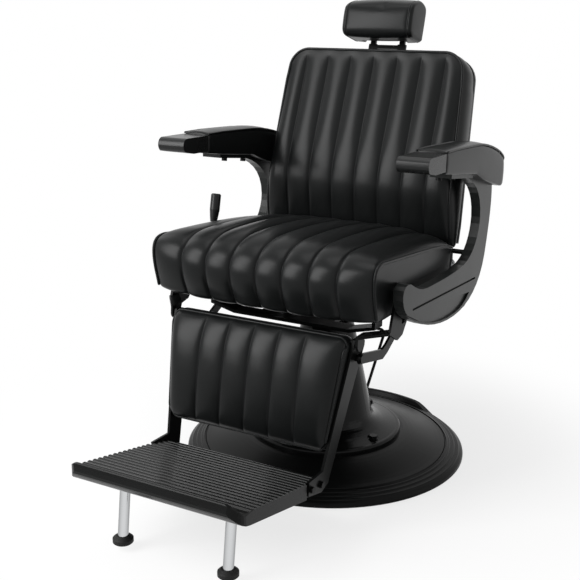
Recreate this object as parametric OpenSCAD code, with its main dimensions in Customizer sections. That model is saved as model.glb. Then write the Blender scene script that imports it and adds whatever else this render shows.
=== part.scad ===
// Hydraulic barber chair: a spun base with a foot pumped ram, a swivelling seat between two
// cast arm frames, and a back that reclines while push links lift the leg rest with it.
// Origin: on the floor under the ram. The chair faces -Y, +X is the sitter's left, +Z is up.

/* [Base] */
// Diameter of the spun base plate
base_d = 700; // [620:5:760]
// Thickness of the base plate's sheet
base_sheet = 4; // [3:0.5:5]
// Height of the raised centre of the base plate
base_h = 54; // [46:1:64]
// Diameter of the pump cover's flange
flange_d = 380; // [360:5:420]
// Diameter of the pump cover at its top
cover_top_d = 124; // [120:1:140]
// Height of the pump cover's top edge over the floor
cover_h = 345; // [335:1:355]
// Wall of the pump cover
cover_wall = 5; // [4:0.5:7]
// Circle on which the four cover bolts sit
cover_bolt_circle = 328; // [320:2:340]
// Thread diameter of the cover bolts
cover_bolt_d = 12; // [10:1:14]
// Width of the rubber ring under the rim
floor_ring_w = 26; // [18:1:32]

/* [Hydraulics] */
// Diameter of the ram
ram_d = 50; // [44:1:56]
// Bore of the pump cylinder
bore_d = 72; // [68:1:78]
// Wall of the pump cylinder
cylinder_wall = 7; // [5:0.5:9]
// Lift of the ram from its lowest place
lift = 160; // [120:5:180]
// Diameter of the spindle that carries the swivel hub
spindle_d = 36; // [30:1:40]
// Running clearance of shafts, pins and bushes on the radius
running = 0.05; // [0.03:0.01:0.08]
// Diameter of the rod of the foot pedal
pedal_rod_d = 8; // [7:0.5:10]
// Half the distance between the pedal's two arms
pedal_half = 44; // [40:1:52]
// Length of the pedal's arms
pedal_l = 197; // [170:1:210]
// Height of the pedal shaft over the floor
pedal_pivot_z = 90; // [88:1:96]
// Distance of the pedal shaft behind the ram's axis
pedal_pivot_y = 140; // [138:1:146]
// Angle of the raised pedal over the floor
pedal_rest = 50; // [40:1:56]

/* [Seat] */
// Width of the seat cushion
seat_w = 540; // [520:2:546]
// Thickness of the cushion's sides outside the steel side plates
seat_wall = 18; // [16:1:22]
// Depth of the seat from the ram's axis to its front piping
seat_front = 350; // [330:2:356]
// Depth of the seat from the ram's axis to its rear edge
seat_rear = 122; // [116:1:124]
// Height of the seat cushion's underside over the pump cover
seat_rise = 107; // [104:1:110]
// Height of the seat's front piping over the cushion's underside
seat_h = 130; // [118:1:140]
// Rise of the seat's crown over its piping
seat_crown = 8; // [4:1:14]
// Number of sewn channels in the seat
seat_channels = 8; // [6:1:10]
// Depth of the sewn channels
channel_depth = 7; // [4:0.5:9]
// Thickness of the steel side plates and brackets
plate = 6; // [5:0.5:7]

/* [Back] */
// Lean of the upright back from the vertical
back_lean = 16; // [10:0.5:20]
// Travel of the recline from upright
recline = 50; // [30:1:50]
// Height of the recline pivot over the cushion's underside
pivot_rise = 18; // [14:1:22]
// Distance of the recline pivot behind the ram's axis
pivot_y = 160; // [158:1:166]
// Diameter of the recline pivot shaft
pivot_d = 20; // [16:1:22]
// Distance of the back's lumbar piping inside the seat's side
back_in_low = 18; // [16:1:30]
// Distance of the back's upper piping inside the seat's side
back_in_top = 35; // [25:1:45]
// Length of the back from the pivot to its top piping
back_top = 506; // [480:1:520]
// Radius of the back's top corners
back_corner_r = 52; // [40:1:70]
// Flare of the back's boxing from its front piping to its rear edge
back_flare = 10; // [0:1:10]
// Distance of the back's front piping before the pivot
back_front = 72; // [68:1:76]
// Number of sewn channels in the back
back_channels = 8; // [6:1:10]
// Crown of the back over its piping
back_crown = 12; // [6:1:16]

/* [Headrest] */
// Width of the headrest
head_w = 188; // [170:2:220]
// Depth of the headrest
head_depth = 95; // [90:1:104]
// Height of the headrest at its front
head_h = 80; // [70:1:90]
// Gap between the back and the lowered headrest
head_gap = 40; // [36:1:50]
// Travel of the headrest post
head_travel = 100; // [60:5:110]
// Distance between the two post bars
post_span = 80; // [70:1:96]

/* [Arms] */
// Gap between the seat cushion and an arm frame
arm_gap = 16; // [15:0.5:20]
// Thickness of an arm frame's casting
arm_t = 23; // [20:1:26]
// Width of the flat face inside the arm frame's curve
arm_band = 44; // [36:1:50]
// Width of an arm pad
pad_w = 73; // [64:1:76]
// Height of the arm pads' tops over the seat cushion's underside
pad_rise = 339; // [334:1:346]
// Diameter of the front tie shaft
tie_d = 18; // [14:1:20]

/* [Leg rest] */
// Tilt of the hanging leg rest from the vertical
leg_tilt = 12.7; // [8:0.1:16]
// Distance of the leg rest's pivot below the seat cushion
leg_pivot_drop = 50; // [48:1:54]
// Distance of the leg rest's pivot before the ram's axis
leg_pivot_y = 320; // [316:1:322]
// Diameter of the leg rest's pivot pins
leg_pin_d = 14; // [12:1:16]
// Height of the leg pad
leg_pad_h = 234; // [216:2:240]
// Distance of the leg pad's top corner inside its side bar
leg_gap = 9; // [8:0.5:14]
// Taper of the leg pad's width from its top to its bottom
leg_taper = 38; // [34:1:50]
// Thickness of the leg pad
leg_pad_t = 46; // [36:1:50]
// Number of sewn channels in the leg pad
leg_channels = 6; // [5:1:8]
// Inward splay of the side bars
splay = 6; // [5.5:0.1:6.5]
// Distance of the foot plate's side inside the tops of the side bars
foot_in = 25; // [23:0.5:28]
// Depth of the foot plate from its rear edge to its toe lip
foot_depth = 338; // [320:2:350]
// Number of ribs on the foot plate
foot_ribs = 18; // [12:1:18]
// Diameter of the foot plate's two legs
foot_leg_d = 22; // [18:1:26]
// Distance between the two legs
foot_leg_span = 254; // [220:2:300]
// Diameter of the rubber feet
foot_pad_d = 43; // [38:1:50]
// Clearance of the rubber feet over the floor
foot_clear = 14; // [2:1:20]

/* [Hidden] */
$fn = 64;
eps = 0.01;

seat_half = seat_w / 2;
seat_z = cover_h + seat_rise;
seat_top_z = seat_z + seat_h;
side_out = seat_half - seat_wall;
side_in = side_out - plate;
arm_in = seat_half + arm_gap;
arm_out = arm_in + arm_t;
pivot = [pivot_y, seat_z + pivot_rise];
leg_pivot = [-leg_pivot_y, seat_z - leg_pivot_drop];
pad_top_z = seat_z + pad_rise;
// planes of the back's plates, the links beside them and the leg rest's side bars
back_plate_out = side_in - 18;
back_plate_in = back_plate_out - plate;
lug_in = back_plate_out + 1;
lug_out = lug_in + plate;
bar_mid = lug_in - plate;
back_w_low = seat_w - 2 * back_in_low;
back_w_top = seat_w - 2 * back_in_top;
leg_w_top = 2 * (bar_mid - leg_gap);
leg_w_low = leg_w_top - leg_taper;
foot_w = 2 * (bar_mid - foot_in);
foot_pocket_x = foot_w / 2 - 12;

leather = [0.06, 0.06, 0.065];
satin = [0.16, 0.17, 0.17];
enamel = [0.05, 0.05, 0.055];
rubber = [0.03, 0.03, 0.03];
chrome = [0.78, 0.79, 0.8];
steel = [0.5, 0.51, 0.53];
bronze = [0.62, 0.46, 0.27];
plywood = [0.66, 0.52, 0.36];

// ---------------------------------------------------------------- shared geometry

function lerp(a, b, t) = a + (b - a) * t;

// Points of a cubic Bezier curve, without its last point
function bez(a, b, c, d, n) = [
    for (i = [0:n - 1])
        let (t = i / n, u = 1 - t)
            a * u * u * u + b * 3 * u * u * t + c * 3 * u * t * t + d * t * t * t
];

// Points of an arc round centre c
function arc(c, r, from, to, n) = [
    for (i = [0:n]) let (a = lerp(from, to, i / n)) c + r * [cos(a), sin(a)]
];

// A (y, z) pair turned so that its top goes back by the angle
function lean(p, a) = [p[0] * cos(a) + p[1] * sin(a), p[1] * cos(a) - p[0] * sin(a)];

// (y, z) points that are given from the height of the seat's underside
function on_seat(p) = [for (q = p) q + [0, seat_z]];

module up(z) {
    translate([0, 0, z]) children();
}

// Extrudes a (y, z) outline along X
module slab(x0, x1) {
    translate([x0, 0, 0]) rotate([90, 0, 90]) linear_extrude(x1 - x0) children();
}

// A round bar along X through the point (y, z)
module xbar(d, x0, x1, p) {
    translate([x0, p[0], p[1]]) rotate([0, 90, 0]) cylinder(d = d, h = x1 - x0);
}

module both_sides() {
    children();
    mirror([1, 0, 0]) children();
}

// A flat bar of width w from p to q in the (y, z) plane, with round ends
module strip(p, q, w) {
    l = norm(q - p);
    a = atan2(q[1] - p[1], q[0] - p[0]);
    translate(p) rotate(a) {
        translate([0, -w / 2]) square([l, w]);
        circle(d = w);
        translate([l, 0]) circle(d = w);
    }
}

// ---------------------------------------------------------------- padded blocks

// 0 on the ridge of a channel and 1 in the seam beside it
function seam(s, n) = let (u = n * (s + 1) / 2, v = 2 * (u - floor(u)) - 1) v * v;

// Share of the crown at a place across the pad
function crown(s) = 1 - pow(abs(s), 4);

// Drop of a rounded corner of radius r on a panel of half width w
function corner_drop(s, w, r) =
    let (d = max(0, abs(s) * w - (w - r))) r - sqrt(max(0, r * r - d * d));

// 1 for a loop that runs anticlockwise and -1 for one that runs clockwise
function turn_of(p) = sign([for (i = [0:len(p) - 1]) cross(p[i], p[(i + 1) % len(p)])] * [for (q = p) 1]);

// Unit normals that point out of a loop
function loop_normals(p) = let (way = turn_of(p)) [
    for (i = [0:len(p) - 1])
        let (d = p[(i + 1) % len(p)] - p[(i + len(p) - 1) % len(p)]) way * [d[1], -d[0]] / norm(d)
];

// Faces over rows of closed loops, with a fan at either end
function loop_faces(rows, cols) = concat(
    [for (i = [0:rows - 2], j = [0:cols - 1], k = [0, 1])
        let (a = i * cols + j, b = i * cols + (j + 1) % cols)
            k == 0 ? [a, a + cols, b] : [b, a + cols, b + cols]],
    [for (j = [1:cols - 2]) [0, j, j + 1]],
    [for (j = [1:cols - 2]) let (e = (rows - 1) * cols) [e, e + j + 1, e + j]]
);

// Places across a pad with four rows to a channel, closer together at its two ends
function stations(n) = concat([-1, -0.985, -0.965], [for (i = [1:4 * n - 1]) -1 + i / (2 * n)],
    [0.965, 0.985, 1]);

// One row of a padded block: the side loop swells to the middle loop, the seams pull it in
function pad_row(side, mid, halves, sewn, s, n, depth) =
    let (loop = [for (j = [0:len(side) - 1]) lerp(side[j], mid[j], crown(s))],
         nrm = loop_normals(loop))
    [for (j = [0:len(loop) - 1])
        let (q = loop[j] - nrm[j] * depth * sewn[j] * seam(s, n)) [s * halves[j], q[0], q[1]]];

function centre(p) = [for (k = [0:2]) [for (q = p) q[k]] * [for (q = p) 1] / len(p)];

// A row drawn towards its own centre, which closes the boxed side of a cushion
function drawn_row(row, pull, inward) =
    let (c = centre(row)) [for (q = row) lerp(q, c, pull) - [sign(c[0]) * inward, 0, 0]];

function all_points(rows) = [for (r = rows) each r];

// A block whose rows are closed loops, with both boxed sides drawn in
module padded(rows, inward) {
    n = len(rows) - 1;
    closed = concat([drawn_row(rows[0], 0.45, inward)], rows, [drawn_row(rows[n], 0.45, inward)]);
    way = turn_of([for (q = rows[0]) [q[1], q[2]]]);
    ordered = way > 0 ? closed : [for (i = [n + 2:-1:0]) closed[i]];
    polyhedron(all_points(ordered), loop_faces(n + 3, len(rows[0])), convexity = 8);
}

// ---------------------------------------------------------------- base

base_r = base_d / 2;
flange_r = flange_d / 2;
groove_r = base_r - 44;
rim_skirt = 3.4;
ring_h = 6;
ridge_pitch = 11;

// Upper line of the base plate from its centre to its rim
base_line = concat(
    [[0, base_h], [flange_r + 4, base_h]],
    bez([flange_r + 8, base_h], [flange_r + 40, base_h - 4], [groove_r - 30, 32], [groove_r - 3, 28], 8),
    [[groove_r - 3, 28], [groove_r - 1, 25.5], [groove_r + 1, 25.5], [groove_r + 2, 28.5]],
    [for (k = [0:2]) each arc([groove_r + 8 + k * ridge_pitch, 21.5 - 4 * k], 5, 100, 20, 4)],
    [[base_r - 4, 12], [base_r - 1, 9], [base_r, 5], [base_r, 2]]
);

module base_plate() {
    color(satin) difference() {
        union() {
            rotate_extrude($fn = 128) polygon(concat(
                base_line,
                [[base_r - rim_skirt, 2], [base_r - rim_skirt, 5], [base_r - 8, 8],
                 [groove_r, 19], [flange_r + 6, base_h - base_sheet], [0, base_h - base_sheet]]));
            rear_lip();
            for (a = [0:45:315]) rotate(a) base_rib();
        }
        for (a = [0:90:270]) rotate(a + bolt_phase)
            translate([cover_bolt_circle / 2, 0, 0]) cylinder(d = cover_bolt_d + 0.8, h = base_h + 1);
    }
}

// Raised lip along the rear of the rim, under the pedal, which dies away at both ends
module rear_lip() {
    lip_half = 34;
    lip_h = 34;
    full_x = base_r * sin(20);
    end_x = base_r * sin(lip_half);
    intersection() {
        rotate(90 - lip_half) rotate_extrude(angle = 2 * lip_half, $fn = 128)
            polygon([[base_r - 24, 14], [base_r - 17, lip_h - 2], [base_r - 14, lip_h],
                     [base_r - 8, lip_h], [base_r - 5, lip_h - 3], [base_r - 3, 8]]);
        translate([0, base_r, 0]) rotate([90, 0, 0]) linear_extrude(base_r) polygon(concat(
            [[-end_x, 0], [end_x, 0]],
            bez([end_x, 8], [end_x - 20, 12], [full_x + 22, lip_h - 2], [full_x, lip_h], 6),
            bez([full_x, lip_h], [full_x, lip_h + 1], [-full_x, lip_h + 1], [-full_x, lip_h], 2),
            bez([-full_x, lip_h], [-full_x - 22, lip_h - 2], [-end_x + 20, 12], [-end_x, 8], 6)));
    }
}

// Stiffening rib pressed under the dome
module base_rib() {
    rib_t = 5;
    rotate([90, 0, 0]) up(-rib_t / 2) linear_extrude(rib_t)
        polygon([[100, base_h - 1.5], [100, 30], [230, 14], [groove_r - 6, 14],
                 [groove_r - 4, 22], [flange_r + 6, base_h - 1.5]]);
}

module floor_ring() {
    ring_out = base_r - rim_skirt - 0.6;
    color(rubber) rotate_extrude($fn = 128)
        polygon([[ring_out - floor_ring_w, 1], [ring_out - floor_ring_w + 2, 0], [ring_out - 2, 0],
                 [ring_out, 1], [ring_out, 5], [ring_out - 5, 7.3],
                 [ring_out - floor_ring_w, lerp(8, 19, (floor_ring_w - 4) / 36) - 0.15]]);
}

// ---------------------------------------------------------------- pump and its cover

bolt_phase = -18;
cylinder_r = bore_d / 2 + cylinder_wall;
gland_r = cylinder_r + 4;
cover_top_r = cover_top_d / 2;
foot_r = flange_r - 74;
bolt_seat_z = base_h + 14;
foot_z = base_h + 50;
cover_slope = (foot_r - cover_top_r) / (cover_h - foot_z);

cover_line = concat(
    [[flange_r, base_h], [flange_r, base_h + 7]],
    bez([flange_r, base_h + 7], [flange_r, base_h + 12], [flange_r - 4, base_h + 13],
        [flange_r - 10, base_h + 13], 4),
    bez([flange_r - 10, base_h + 13], [flange_r - 30, base_h + 17], [flange_r - 42, base_h + 20],
        [flange_r - 50, base_h + 24], 4),
    bez([flange_r - 50, base_h + 24], [flange_r - 64, base_h + 30], [foot_r + 4, foot_z - 14],
        [foot_r, foot_z], 6),
    [[foot_r, foot_z]],
    bez([cover_top_r + 6 * cover_slope, cover_h - 6], [cover_top_r, cover_h - 1],
        [cover_top_r - 2, cover_h], [cover_top_r - 5, cover_h], 4),
    [[cover_top_r - 5, cover_h]]
);

// Inner line of the cover, one wall inside the outer one
cover_inner = [
    [gland_r + 0.3, cover_h], [gland_r + 0.3, cover_h - 22], [cover_top_r - cover_wall, cover_h - 26],
    [foot_r - cover_wall, foot_z - 4], [flange_r - 66, base_h + 18],
    [flange_r - 16, base_h + 6], [flange_r - 16, base_h]
];

module pump_cover() {
    color(enamel) difference() {
        rotate_extrude($fn = 128) polygon(concat(cover_line, cover_inner));
        for (a = [0:90:270]) rotate(a + bolt_phase) translate([cover_bolt_circle / 2, 0, 0]) {
            up(base_h - 1) cylinder(d = cover_bolt_d + 0.8, h = 30);
            up(bolt_seat_z) cylinder(d = cover_bolt_d * 2.4, h = 20);
        }
    }
    color(enamel) for (a = [0:90:270]) rotate(a + bolt_phase) cover_boss();
}

// Boss inside the flange that carries one bolt
module cover_boss() {
    translate([cover_bolt_circle / 2, 0, base_h]) difference() {
        cylinder(d = cover_bolt_d * 2.2, h = bolt_seat_z - base_h);
        up(-1) cylinder(d = cover_bolt_d + 0.8, h = 30);
    }
}

module cover_bolts() {
    head_h = 8;
    washer_h = 2;
    color(enamel) for (a = [0:90:270]) rotate(a + bolt_phase)
        translate([cover_bolt_circle / 2, 0, 0]) {
            up(bolt_seat_z) cylinder(d = cover_bolt_d * 2, h = washer_h);
            up(bolt_seat_z + washer_h) cylinder(d = cover_bolt_d * 1.75, h = head_h, $fn = 6);
            up(base_h - base_sheet - 10) cylinder(d = cover_bolt_d, h = 30);
            up(base_h - base_sheet - 8) cylinder(d = cover_bolt_d * 1.75, h = 8, $fn = 6);
        }
}

cylinder_top = cover_h - 22;
cylinder_floor = base_h + 10;

module pump_cylinder() {
    color(steel) difference() {
        union() {
            up(base_h) cylinder(d = 2 * cylinder_r + 60, h = 9);
            up(base_h) cylinder(r = cylinder_r, h = cylinder_top - base_h);
        }
        up(cylinder_floor) cylinder(d = bore_d, h = cover_h);
    }
}

module gland_bush() {
    spigot = 24;
    color(bronze) difference() {
        union() {
            up(cylinder_top) cylinder(r = gland_r, h = 12);
            up(cylinder_top - spigot) cylinder(d = bore_d - 0.1, h = spigot + 1);
        }
        up(cylinder_top - spigot - 1) cylinder(r = ram_d / 2 + running, h = spigot + 20);
    }
}

module wiper_seal() {
    lip_top = cover_h + 4;
    base_z = cylinder_top + 12;
    color(rubber) rotate_extrude($fn = 96)
        polygon([[ram_d / 2 + running, base_z], [gland_r, base_z], [gland_r, cover_h - 3],
                 [ram_d / 2 + 12, cover_h], [ram_d / 2 + 3, lip_top], [ram_d / 2 + running, lip_top]]);
}

// ---------------------------------------------------------------- foot pedal

pedal_shaft_d = 16;
lug_t = 12;
lug_gap = 0.4;
pedal_pivot = [pedal_pivot_y, pedal_pivot_z];
pedal_inner = pedal_half - pedal_rod_d / 2 - 2;

// Two lugs behind the pump, between the pedal's arms
module pedal_bracket() {
    lug_out = pedal_inner - lug_gap;
    low = base_h + 17.5;
    color(enamel) both_sides() difference() {
        slab(lug_out - lug_t, lug_out) {
            translate(pedal_pivot) circle(d = pedal_shaft_d + 14);
            polygon([pedal_pivot + [-15, 0], pedal_pivot + [15, 0],
                     [pedal_pivot_y + 22, low], [pedal_pivot_y - 15, low]]);
        }
        xbar(pedal_shaft_d + 2 * running, 0, 80, pedal_pivot);
        rotate_extrude($fn = 128) polygon(concat(cover_line, [[0, cover_h], [0, base_h]]));
    }
}

pedal_eye_w = pedal_rod_d + 4;

module pedal_shaft() {
    color(steel) xbar(pedal_shaft_d, -pedal_inner - pedal_eye_w, pedal_inner + pedal_eye_w, pedal_pivot);
}

// Bent rod pedal: an eye on each end of the shaft and a cross bar at the far end
module foot_pedal() {
    bend_r = 16;
    color(enamel) translate([0, pedal_pivot_y, pedal_pivot_z]) rotate([pedal_rest, 0, 0])
        difference() {
            union() {
                both_sides() {
                    translate([pedal_inner, 0, 0]) rotate([0, 90, 0])
                        cylinder(d = pedal_shaft_d + 6, h = pedal_eye_w);
                    translate([pedal_half, 0, 0]) rotate([-90, 0, 0])
                        cylinder(d = pedal_rod_d, h = pedal_l - bend_r);
                    translate([pedal_half - bend_r, pedal_l - bend_r, 0])
                        rotate_extrude(angle = 90) translate([bend_r, 0]) circle(d = pedal_rod_d);
                }
                translate([-pedal_half + bend_r, pedal_l, 0]) rotate([0, 90, 0])
                    cylinder(d = pedal_rod_d, h = 2 * (pedal_half - bend_r));
            }
            xbar(pedal_shaft_d, -100, 100, [0, 0]);
        }
}

// ---------------------------------------------------------------- ram and swivel

hub_low = cover_h + 9;
shoulder_z = hub_low + 18;
bearing_h = 6;
bore_low = shoulder_z + bearing_h;
hub_top = bore_low + 26;
piston_z = cylinder_floor + 2;
piston_h = 18;

module ram() {
    color(chrome) {
        up(piston_z + piston_h) cylinder(d = ram_d, h = shoulder_z - piston_z - piston_h);
        up(piston_z) cylinder(d = ram_d - 18, h = piston_h);
        up(shoulder_z) cylinder(d = spindle_d, h = hub_top - shoulder_z + 12);
    }
}

module piston() {
    groove = 3;
    color(steel) up(piston_z) rotate_extrude()
        polygon([[ram_d / 2 - 9, 0], [bore_d / 2 - 1, 0], [bore_d / 2 - running, 1],
                 [bore_d / 2 - running, 6], [bore_d / 2 - groove, 6], [bore_d / 2 - groove, 12],
                 [bore_d / 2 - running, 12], [bore_d / 2 - running, piston_h], [ram_d / 2 - 9, piston_h]]);
}

module piston_ring() {
    color(rubber) up(piston_z + 6) rotate_extrude()
        polygon([[bore_d / 2 - 3, 0], [bore_d / 2 - running, 0], [bore_d / 2 - running, 6],
                 [bore_d / 2 - 3, 6]]);
}

// Thrust washer under the hub, with a groove for grease
module thrust_bearing() {
    color(steel) up(shoulder_z) difference() {
        cylinder(d = ram_d - 1, h = bearing_h - 0.2);
        up(-1) cylinder(d = spindle_d, h = bearing_h + 2);
    }
}

module spindle_nut() {
    color(steel) up(hub_top + 0.3) difference() {
        union() {
            cylinder(d = spindle_d + 20, h = 2.5);
            up(2.5) cylinder(d = spindle_d + 16, h = 8, $fn = 6);
        }
        up(-1) cylinder(d = spindle_d, h = 20);
    }
}

hub_d = 88;

module swivel_hub() {
    color(satin) difference() {
        up(hub_low) cylinder(d = hub_d, h = hub_top - hub_low);
        up(hub_low - 1) cylinder(d = ram_d + 3, h = bore_low - hub_low + 1);
        up(hub_low) cylinder(r = spindle_d / 2 + running, h = 80);
    }
}

// ---------------------------------------------------------------- seat structure

beam_w = 40;
cradle_z = hub_low + 26;
cradle_t = 8;
cradle_half = side_in - 32;
front_beam_y = -180;
rear_beam_y = 80;

// Outline of one bent cradle beam in the (x, z) plane
beam_line = [
    [-150, cradle_z], [150, cradle_z], [cradle_half, cradle_z + 16], [cradle_half, seat_z],
    [cradle_half - 40, seat_z], [cradle_half - 40, seat_z - cradle_t],
    [cradle_half - cradle_t, seat_z - cradle_t], [cradle_half - cradle_t, cradle_z + 16 + 6],
    [148, cradle_z + cradle_t], [-148, cradle_z + cradle_t],
    [-cradle_half + cradle_t, cradle_z + 16 + 6], [-cradle_half + cradle_t, seat_z - cradle_t],
    [-cradle_half + 40, seat_z - cradle_t], [-cradle_half + 40, seat_z],
    [-cradle_half, seat_z], [-cradle_half, cradle_z + 16]
];

module seat_cradle() {
    color(satin) {
        for (y = [front_beam_y, rear_beam_y])
            translate([0, y + beam_w / 2, 0]) rotate([90, 0, 0]) linear_extrude(beam_w) polygon(beam_line);
        difference() {
            translate([-95, front_beam_y, cradle_z]) cube([190, rear_beam_y - front_beam_y, cradle_t]);
            up(cradle_z - 1) cylinder(d = hub_d, h = cradle_t + 2);
        }
        // webs between the plate and the hub
        for (a = [45:90:315]) rotate(a) translate([hub_d / 2, -3, hub_low + 4])
            rotate([90, 0, 0]) up(-6) linear_extrude(6)
                polygon([[0, 0], [8, 0], [40, cradle_z - hub_low - 4], [0, cradle_z - hub_low - 4]]);
        lock_lugs();
    }
}

tie = [-228, seat_z + 51];
stud = pivot + [10, 37];
stud_d = 12;
plate_bottom = seat_z + 2;
plate_top = seat_z + 56;
board_low = tie[1] + tie_d / 2 + 0.2;
board_top = board_low + 8.8;
box_front = -264;

// Steel side plates of the seat box, with ears for the tie shaft and the recline pivot
module seat_side_plates() {
    color(satin) both_sides() difference() {
        slab(side_in, side_out) {
            polygon([[-264, plate_bottom], [seat_rear - 8, plate_bottom], pivot - [0, 22],
                     pivot + [22, 0], [pivot_y + 21, stud[1]], [stud[0], stud[1] + 11],
                     [stud[0] - 10, stud[1] + 4], [seat_rear - 8, plate_top], [-264, plate_top]]);
            translate(tie) circle(d = tie_d + 16);
            translate(pivot) circle(d = pivot_d + 24);
        }
        xbar(tie_d, 0, seat_half, tie);
        xbar(stud_d, 0, seat_half, stud);
        xbar(pivot_d, 0, seat_half, pivot);
        for (y = [front_beam_y, rear_beam_y]) xbar(10, 0, seat_half, [y, plate_bottom + 20]);
    }
}

module seat_cross_members() {
    wall = 4;
    height = board_low - seat_z;
    color(satin) for (y = [front_beam_y, rear_beam_y])
        translate([-side_in, y - beam_w / 2, seat_z]) difference() {
            cube([2 * side_in, beam_w, height]);
            translate([-1, wall, wall]) cube([2 * side_in + 2, beam_w - 2 * wall, height - 2 * wall]);
        }
}

// Plywood tray between the side plates, with a board down its front
module seat_board() {
    lip = 9;
    color(plywood) {
        translate([-side_in, box_front, board_low])
            cube([2 * side_in, seat_rear - box_front - 1, board_top - board_low]);
        translate([-side_in, box_front, plate_bottom]) cube([2 * side_in, lip, board_top - plate_bottom]);
    }
}

// ---------------------------------------------------------------- seat cushion

seat_side = concat(
    bez([seat_rear, seat_top_z - 51], [70, seat_top_z - 26], [-150, seat_top_z - 15],
        [-seat_front + 25, seat_top_z], 8),
    bez([-seat_front + 25, seat_top_z], [-seat_front + 7, seat_top_z + 1],
        [-seat_front, seat_top_z - 6], [-seat_front, seat_top_z - 24], 3),
    bez([-seat_front, seat_top_z - 24], [-seat_front - 2, seat_top_z - 52],
        [-seat_front + 8, seat_z + 43], [-seat_front + 14, seat_z + 18], 4),
    bez([-seat_front + 14, seat_z + 18], [-seat_front + 16, seat_z + 6],
        [-seat_front + 22, seat_z + 2], [-seat_front + 38, seat_z + 1], 3),
    [[-seat_front + 38, seat_z + 1], [-264, seat_z], [-60, seat_z], [seat_rear, seat_z],
     [seat_rear, seat_z + 40]]
);
seat_mid = concat(
    bez([seat_rear, seat_top_z - 20], [60, seat_top_z - 2], [-120, seat_top_z + seat_crown],
        [-seat_front + 45, seat_top_z + seat_crown], 8),
    bez([-seat_front + 45, seat_top_z + seat_crown], [-seat_front + 16, seat_top_z + seat_crown],
        [-seat_front - 8, seat_top_z - 4], [-seat_front - 10, seat_top_z - 34], 3),
    bez([-seat_front - 10, seat_top_z - 34], [-seat_front - 11, seat_z + 63],
        [-seat_front, seat_z + 28], [-seat_front + 7, seat_z + 10], 4),
    bez([-seat_front + 7, seat_z + 10], [-seat_front + 10, seat_z - 2],
        [-seat_front + 20, seat_z - 9], [-seat_front + 38, seat_z - 9], 3),
    [[-seat_front + 38, seat_z - 9], [-264, seat_z], [-60, seat_z], [seat_rear, seat_z],
     [seat_rear, seat_z + 45]]
);
seat_sewn = [for (j = [0:22]) j < 17 ? 1 : (j == 17 ? 0.6 : 0)];

// Upholstered cushion that fits over the seat box like a cap
module seat_cushion() {
    halves = [for (p = seat_side) seat_half];
    rows = [for (s = stations(seat_channels))
        pad_row(seat_side, seat_mid, halves, seat_sewn, s, seat_channels, channel_depth)];
    color(leather) difference() {
        padded(rows, 3);
        translate([-side_out, box_front, seat_z - 5])
            cube([2 * side_out, seat_rear - box_front + 10, board_top - seat_z + 5]);
        xbar(tie_d + 2, -seat_half - 5, seat_half + 5, tie);
        xbar(lever_pin_d + 2, -seat_half - 5, 0, lever_pivot_p);
    }
}

// ---------------------------------------------------------------- shafts of the seat box

seat_depth = 10;

module tie_shaft() {
    color(chrome) xbar(tie_d, -arm_in - seat_depth, arm_in + seat_depth, tie);
}

module arm_studs() {
    color(chrome) both_sides() xbar(stud_d, side_in, arm_in + seat_depth, stud);
}

nut_h = 10;

// Recline pivot shaft with a nut on either end
module pivot_shaft() {
    color(steel) {
        xbar(pivot_d, -side_out - nut_h, side_out + nut_h, pivot);
        both_sides() translate([side_out, pivot[0], pivot[1]]) rotate([0, 90, 0])
            cylinder(d = pivot_d * 1.8, h = nut_h - 2, $fn = 6);
    }
}

// ---------------------------------------------------------------- arm frames

// Inner curve of the casting, from the front tip over the saddle and up the C
inner_curve = on_seat(concat(
    bez([-239, 71], [-215, 60], [-190, 44], [-140, 41], 5),
    bez([-140, 41], [-60, 38], [30, 34], [95, 41], 5),
    bez([95, 41], [165, 50], [201, 96], [201, 140], 8),
    bez([201, 140], [200, 198], [150, 234], [82, 252], 7)
));
// Outer curve, from the top of the C down its rear and forward under the seat
outer_curve = on_seat(concat(
    bez([296, 212], [304, 168], [300, 123], [272, 31], 6),
    bez([272, 31], [245, -42], [170, -76], [60, -76], 8),
    bez([60, -76], [-60, -76], [-180, -38], [-250, 5], 8),
    bez([-250, 5], [-296, 34], [-290, 88], [-239, 71], 8)
));
saddle_front = [-64, seat_z + 270];
saddle_rear = [82, seat_z + 252];
saddle_t = 9;
pad_line_low = concat([saddle_front + [0, saddle_t], saddle_rear + [0, saddle_t + 1]],
    on_seat([[150, 238], [296, 212]]));

// Line of the groove across the fan, and of the recess below it
groove_from = [-222, seat_z + 12];
groove_to = [190, seat_z - 11];
fan_recess = on_seat(concat(
    [[-214, 3], [152, -38]],
    bez([152, -38], [120, -60], [90, -64], [50, -65], 4),
    bez([50, -65], [-50, -67], [-140, -44], [-206, -12], 6)
));

module arm_outline() {
    polygon(concat(inner_curve, [saddle_rear, saddle_front], pad_line_low, outer_curve));
}

// Raised face: a band that follows the inner curve, and the fan in front
module arm_face() {
    intersection() {
        arm_outline();
        polygon(on_seat(concat(
            [[-300, 108], [-64, 288], [150, 248]],
            [[201 + arm_band - 6, 216]],
            bez([201 + arm_band - 4, 188], [201 + arm_band + 6, 138], [201 + arm_band + 4, 88],
                [201 + arm_band - 14, 28], 6),
            bez([201 + arm_band - 14, 28], [180, -27], [180, -52], [120, -66], 4),
            bez([120, -66], [0, -80], [-130, -54], [-230, -2], 6),
            [[-300, 28]])));
    }
}

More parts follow.
